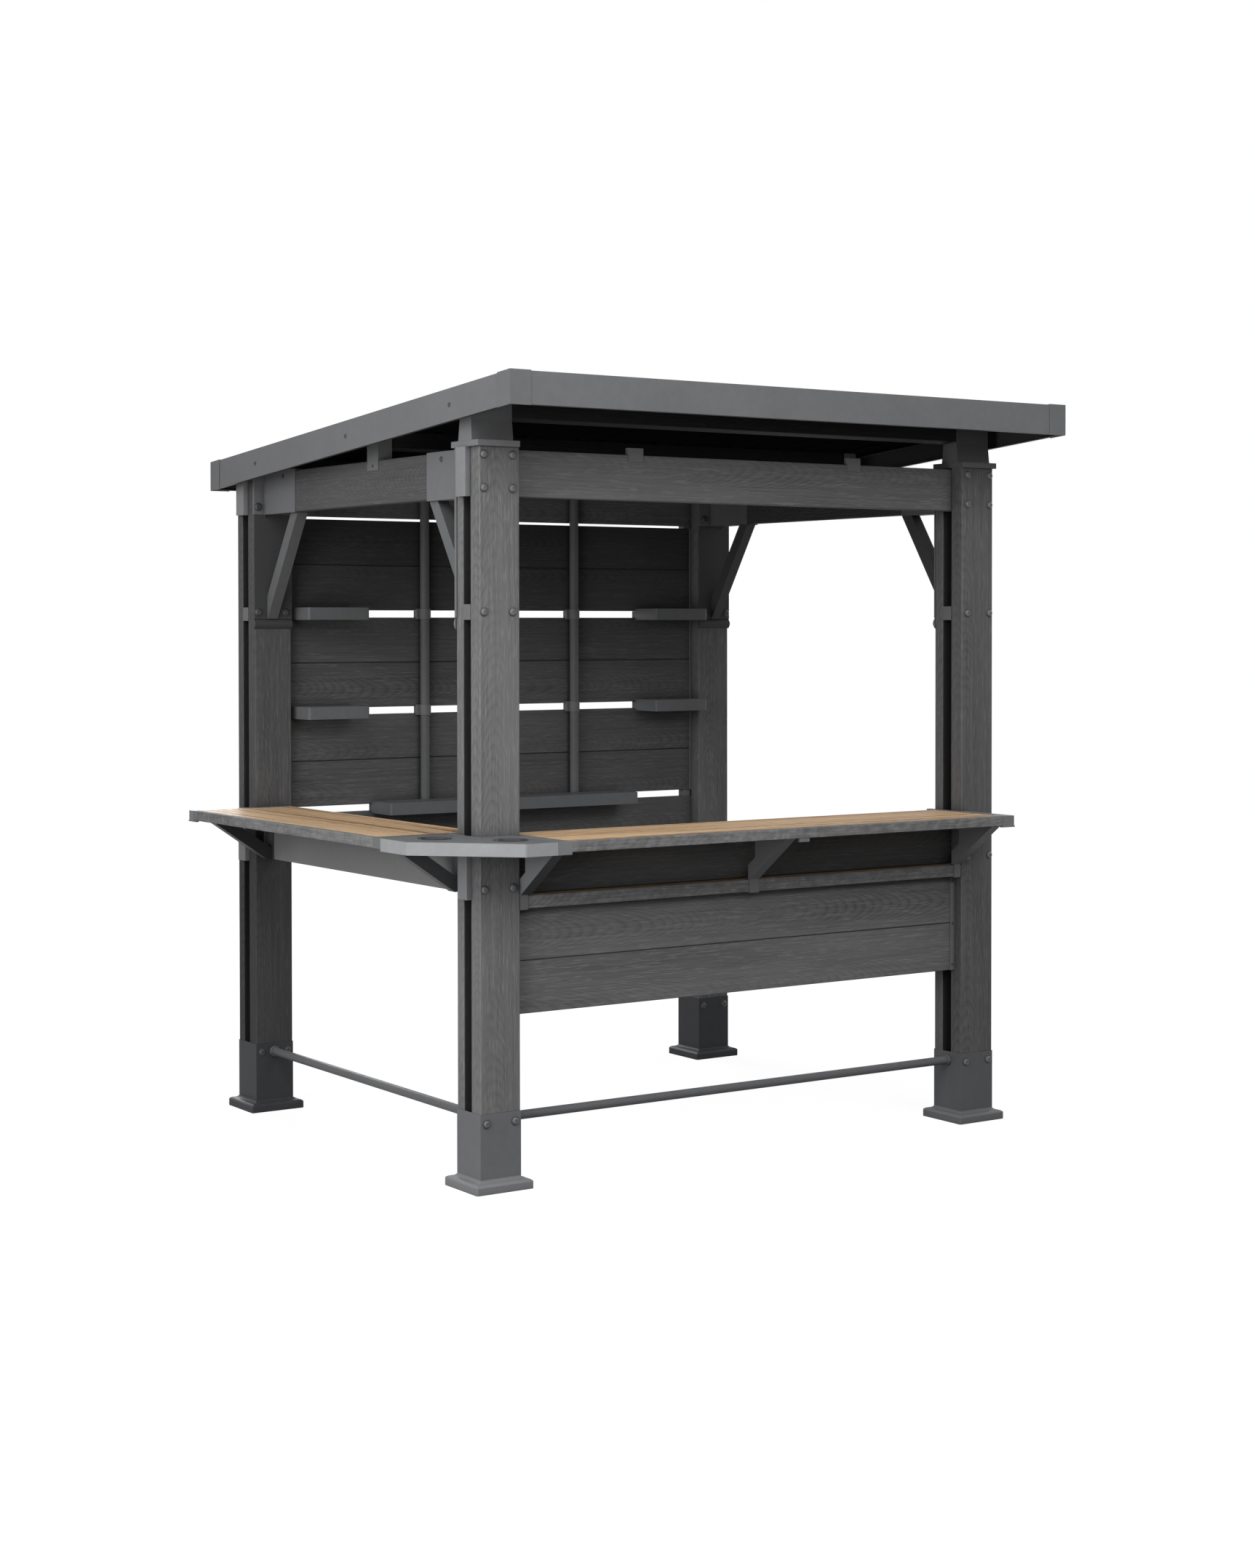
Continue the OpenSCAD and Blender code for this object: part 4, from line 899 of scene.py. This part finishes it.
# %% [markdown]
# ## Bolts and screws
# Carriage bolts hold the post boards to the blocks between them. Each one is a
# flat washer, painted near-black as the dome's contact shadow, under a lighter
# dome with a round socket in its middle. A half sphere would make a dome, but
# it has no rim and no socket. By hand, the head is one short cylinder whose top
# face is inset again and again, each ring a little higher or lower than the one
# before. Washers and the flat screws for sheet metal are made the same way.

# %% A round head
BACKWARDS, FORWARDS = (0, 1, 0), (0, -1, 0)
OUTWARDS, INWARDS = (-1, 0, 0), (1, 0, 0)  # on the left, where each place is measured
WASHER = [(0.0006, 0.0004)]
DOME = [(0.0004, 0.0022), (0.0014, 0.0018), (0.0022, 0.0012), (0.0018, 0.0003), (0.0003, -0.0020)]
SCREW = [(0.0008, 0.0006), (0.0016, 0.0004), (0.0020, 0.0), (0.0003, -0.0010)]


def fastener(name, radius, foot, steps, sides=20):
    """A round head: a disc of the foot's height, then insets of its top by (width, rise)."""
    clear_selection()
    bpy.ops.mesh.primitive_cylinder_add(vertices=sides, radius=radius, depth=foot,
                                        location=(0, 0, foot / 2))
    piece = bpy.context.object
    piece.name = name
    bpy.ops.object.transform_apply(location=True)
    bpy.ops.object.mode_set(mode="EDIT")
    select_top(piece)
    for width, rise in steps:
        bpy.ops.mesh.inset(thickness=width, depth=rise)
    bpy.ops.object.mode_set(mode="OBJECT")
    bpy.ops.object.shade_smooth_by_angle(angle=math.radians(40))
    return piece


print("a dome rises", round(sum(rise for _, rise in DOME[:-1]), 4), "m over its foot")

# %% [markdown]
# The bolts stand in rows across each post: at the head, where the beams are
# held, at the slot block, under the bar, and in the sleeve of the base, which
# is a little wider. The rear posts show only the two lower rows. The solids
# have plain pins there, which these heads replace.

# %% Bolts in the posts
POST_DEPTH = 0.140
BOARD_ROWS = (2.215, 2.115, 1.7435, 0.911)
BOARD_COLUMNS = (0.016, 0.116)
SLEEVE_ROW, SLEEVE_SHIFT = 0.206, 0.005


def bolt_heads(name, places, washer, dome):
    """Washers, painted dark as the domes' contact shadow, with domes on them, each given as its
    radius and the height of its foot.
    """
    washers = spread(fastener("washer", *washer, WASHER), name + "_washers", places,
                     screw_shade_coat)
    domes = spread(fastener("dome", *dome, DOME), name + "_heads", places,
                   bolt_coat)
    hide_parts("post_bolts")
    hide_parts("post_bolts")


rear_face = frame_d - POST_DEPTH
places = []
for x in BOARD_COLUMNS:
    for z in BOARD_ROWS:
        places += both_sides(x, SLEEVE_LIP, z, FORWARDS)
    places += both_sides(x, rear_face + SLEEVE_LIP, BOARD_ROWS[-1], FORWARDS)
    places += both_sides(x + SLEEVE_SHIFT, 0.0, SLEEVE_ROW, FORWARDS)
    places += both_sides(x + SLEEVE_SHIFT, rear_face, SLEEVE_ROW, FORWARDS)
bolt_heads("post_bolt", places, washer=(0.0138, 0.0012), dome=(0.0110, 0.0022))

# %% [markdown]
# Longer bolts go through the plates of the brace sockets. They stand on the
# inner faces of the posts, so the front ones look backwards and the rear ones
# forwards.

# %% Bolts through the plates
PLATE_FACE = 0.143  # the outside of the plate, from the post's outer face
PLATE_COLUMNS, PLATE_ROWS = (0.012, 0.117), (2.118, 1.750)

places = []
for x in PLATE_COLUMNS:
    for z in PLATE_ROWS:
        places += both_sides(x, PLATE_FACE, z, BACKWARDS)
        places += both_sides(x, frame_d - PLATE_FACE, z, FORWARDS)
bolt_heads("plate_bolt", places, washer=(0.0145, 0.0014), dome=(0.0126, 0.0024))

# %% [markdown]
# Three screws hold each side fascia. They follow the slope of the roof, so
# their heights come from one line instead of a list: a fixed height at the back
# of the frame, which rises by the slope with every metre towards the front.

# %% Screws of the fascia
ROOF_PITCH = math.radians(4.43)
ROOF_SLOPE = math.tan(ROOF_PITCH)
FASCIA_FACE, FASCIA_ROW_AT_BACK = -0.064, 2.2383
FASCIA_COLUMNS = (0.068, 0.735, 1.400)


def screws(name, places, radius, foot, steps=SCREW):
    spread(fastener(name, radius, foot, steps), name + "s", places, screw_shade_coat)


places = []
for y in FASCIA_COLUMNS:
    height = FASCIA_ROW_AT_BACK + ROOF_SLOPE * (frame_d - y)
    places += both_sides(FASCIA_FACE, y, height, OUTWARDS)
screws("fascia_screw", places, radius=0.0075, foot=0.0012)

# %% [markdown]
# The sockets wrap the side beams and are screwed to them from both sides, so
# each socket has a screw on its outer and one on its inner cheek.

# %% Screws of the sockets
SOCKET_SCREW_FROM_END, SOCKET_SCREW_ROW = 0.291, 2.216
OUTER_CHEEK, INNER_CHEEK = 0.036, 0.087

places = []
for y in (SOCKET_SCREW_FROM_END, frame_d - SOCKET_SCREW_FROM_END):
    places += both_sides(OUTER_CHEEK, y, SOCKET_SCREW_ROW, OUTWARDS)
    places += both_sides(INNER_CHEEK, y, SOCKET_SCREW_ROW, INWARDS)
screws("socket_screw", places, radius=0.0090, foot=0.0014)

# %% [markdown]
# The channels that hold the front panel, and the shoes under the purlins, have
# smaller screws with a shallow dimple, which take only the first two steps of
# the larger ones. The shoe's screw is placed from its own box.

# %% Screws of the channels and shoes
CHANNEL_COLUMN, CHANNEL_FACE, CHANNEL_ROWS = 0.1505, 0.036, (0.540, 0.681, 0.825)
SHOE_ROW = 0.014  # over the shoe's foot
SMALL_SCREW = SCREW[:2] + [(0.0010, -0.0008)]

places = []
for z in CHANNEL_ROWS:
    places += both_sides(CHANNEL_COLUMN, CHANNEL_FACE, z, FORWARDS)
shoe_low, shoe_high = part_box("purlin_shoes")
shoe_y = (shoe_low.y + shoe_high.y) / 2 - corner_y
places += both_sides(shoe_low.x - corner_x, shoe_y, shoe_low.z + SHOE_ROW, OUTWARDS)
screws("channel_screw", places, radius=0.0045, foot=0.0010, steps=SMALL_SCREW)

# %% [markdown]
# From above, the roof shows rows of roofing screws. Each goes through the flat
# between two ribs into a purlin, with a sealing washer under its head, and
# stands square to the sloping sheet. They are seen small, so twelve sides are
# enough.

# %% Roofing screws
RIB_SPACE = 0.107
SCREWED_FLATS = range(1, 20, 2)
FRONT_PURLIN_Y, REAR_PURLIN_Y = 0.069, 1.400
SHEET_TOP = 0.0015  # the sheet's upper side over the top of a purlin
ROOF_SCREW = [(0.0008, 0.0004), (0.0022, 0.0), (0.0002, 0.0040), (0.0008, 0.0006)]

purlin_low, purlin_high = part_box("purlin_middle")
middle_y = (purlin_low.y + purlin_high.y) / 2 - corner_y
sheet_low, sheet_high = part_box("roof_sheets")


def sheet_height(y):
    """How high the flat of the roof sheets lies, at y from the posts' front."""
    return purlin_high.z - ROOF_SLOPE * (y - (purlin_low.y - corner_y)) + SHEET_TOP


square_to_roof = (0, math.sin(ROOF_PITCH), math.cos(ROOF_PITCH))
places = []
for y in (FRONT_PURLIN_Y, middle_y, REAR_PURLIN_Y):
    for rib in SCREWED_FLATS:
        x = sheet_low.x - corner_x + RIB_SPACE * (rib + 0.5)
        places.append((at(x, y, sheet_height(y)), square_to_roof))
roof_screw = fastener("roof_screw", radius=0.0085, foot=0.0015, steps=ROOF_SCREW, sides=12)
spread(roof_screw, "roof_screws", places, grey_coat)

# %% [markdown]
# ## Lapped ribs
# Roof sheets are laid with their edge ribs over each other. The solids stop
# at a thin joint between two sheets, so a rib of folded sheet is laid over each
# joint here. It could be built from strips, one for each fold, but then the
# folds would show gaps. Its section is drawn once as a closed outline instead,
# and extruded down the slope.

# %% Lapped ribs
LAP_SECTION = (
    # across and up, first along the upper side and then back along the lower one
    (-0.0420, 0.0014), (-0.0236, 0.0014), (-0.0128, 0.0212),
    (0.0128, 0.0212), (0.0236, 0.0014), (0.0310, 0.0014),
    (0.0310, 0.0002), (0.0226, 0.0002), (0.0118, 0.0198),
    (-0.0118, 0.0198), (-0.0226, 0.0002), (-0.0420, 0.0002),
)
LAPPED_RIBS = (("lap_rib_left", 7), ("lap_rib_right", 13))


def draw_outline(points):
    """A flat face with its corners at the points, left selected in edit mode."""
    clear_selection()
    bpy.ops.mesh.primitive_circle_add(vertices=len(points), radius=0.02, fill_type="NGON",
                                      location=(0, 0, 0))
    piece = bpy.context.object
    bpy.ops.object.mode_set(mode="EDIT")
    shape = bmesh.from_edit_mesh(piece.data)
    for vert, point in zip(shape.verts, points):
        vert.co = point
    bmesh.update_edit_mesh(piece.data)
    bpy.ops.mesh.select_all(action="SELECT")
    return piece


def close_shell():
    """Turns the faces outwards and leaves edit mode."""
    bpy.ops.mesh.select_all(action="SELECT")
    bpy.ops.mesh.normals_make_consistent(inside=False)
    bpy.ops.object.mode_set(mode="OBJECT")


lap_start, lap_end = sheet_low.y - corner_y + 0.002, sheet_high.y - corner_y - 0.004
run = lap_end - lap_start
for name, rib in LAPPED_RIBS:
    start = at(sheet_low.x - corner_x + RIB_SPACE * rib, lap_start, sheet_height(lap_start))
    lap = draw_outline([start + Vector((out, 0, up)) for out, up in LAP_SECTION])
    bpy.ops.mesh.extrude_region_move(TRANSFORM_OT_translate={"value": (0, run, -run * ROOF_SLOPE)})
    close_shell()
    finish_piece(lap, name, roof_coat)
    print(name, "runs", round(run, 3), "m down the slope")

# %% [markdown]
# ## Rims of the cup holes
# Each hole in the corner tray has a rim pressed from sheet: a flat ring on the
# tray, a rounded lip, and a short sleeve down the hole. A torus would only give
# the lip. The rim's section is one small closed outline, and the rim is that
# outline spun once about the hole's middle. Its near-black coat is painted
# shade inside the hole.

# %% Cup hole rims
CUP_RADIUS, CUP_WALL = 0.046, 0.0012
TRAY_TOP = 1.067
SPIN_STEPS, SEAM = 48, 0.00002  # the spin ends where it began, and its seam is merged
RIM_SECTION = (
    # outwards from the sleeve's inner face, and up from the tray
    (0.0, -0.014), (0.0, 0.0006), (0.0008, 0.0016), (0.0050, 0.0022),
    (0.0088, 0.0014), (0.0096, 0.0), (0.0014, -0.0002), (0.0014, -0.014),
)
CUP_HOLES = (("cup_rim_side", (-0.123, 0.063)), ("cup_rim_front", (0.037, -0.115)))

for name, (x, y) in CUP_HOLES:
    rim = draw_outline([(CUP_RADIUS - CUP_WALL + out, 0, up) for out, up in RIM_SECTION])
    bpy.ops.mesh.spin(steps=SPIN_STEPS, angle=math.tau, center=(0, 0, 0), axis=(0, 0, 1))
    bpy.ops.mesh.select_all(action="SELECT")
    bpy.ops.mesh.remove_doubles(threshold=SEAM)
    close_shell()
    bpy.ops.object.shade_smooth_by_angle(angle=math.radians(50))
    rim.data.transform(Matrix.Translation(at(x, y, TRAY_TOP)))
    finish_piece(rim, name, rim_shade_coat)
    print(name, "faces:", len(rim.data.polygons))

# %% [markdown]
# ## Collar of the corner post
# Where the tray meets the post, a thin collar of flat strip covers the joint on
# the post's two outer faces. A small tab of the same make hangs under the front
# counter's edge. Each is a block whose upper rim is bevelled, so that it catches
# the light as a deburred strip does.

# %% Collar and tab
COLLAR_W, COLLAR_TOP = 0.012, 1.0695


def strip(name, low, high, bevel, material):
    """A block between two corners with its upper edges bevelled."""
    clear_selection()
    size = [b - a for a, b in zip(low, high)]
    middle = [(a + b) / 2 for a, b in zip(low, high)]
    bpy.ops.mesh.primitive_cube_add(size=1, location=middle, scale=size)
    piece = bpy.context.object
    bpy.ops.object.transform_apply(location=True, rotation=True, scale=True)
    bpy.ops.object.mode_set(mode="EDIT")
    select_top(piece)
    bpy.ops.mesh.bevel(offset=bevel, segments=2, affect="EDGES")
    bpy.ops.object.mode_set(mode="OBJECT")
    print(name, "measures", [round(side, 4) for side in size])
    return finish_piece(piece, name, material)


strip("collar_front", at(-COLLAR_W, -COLLAR_W, TRAY_TOP), at(0.119, 0.0, COLLAR_TOP),
      bevel=0.0012, material=tray_coat)
strip("collar_side", at(-COLLAR_W, 0.0, TRAY_TOP), at(0.0, 0.169, COLLAR_TOP),
      bevel=0.0012, material=tray_coat)
strip("edge_tab", at(1.020, -0.244, 1.022), at(1.058, -0.232, 1.034),
      bevel=0.0010, material=grey_coat)
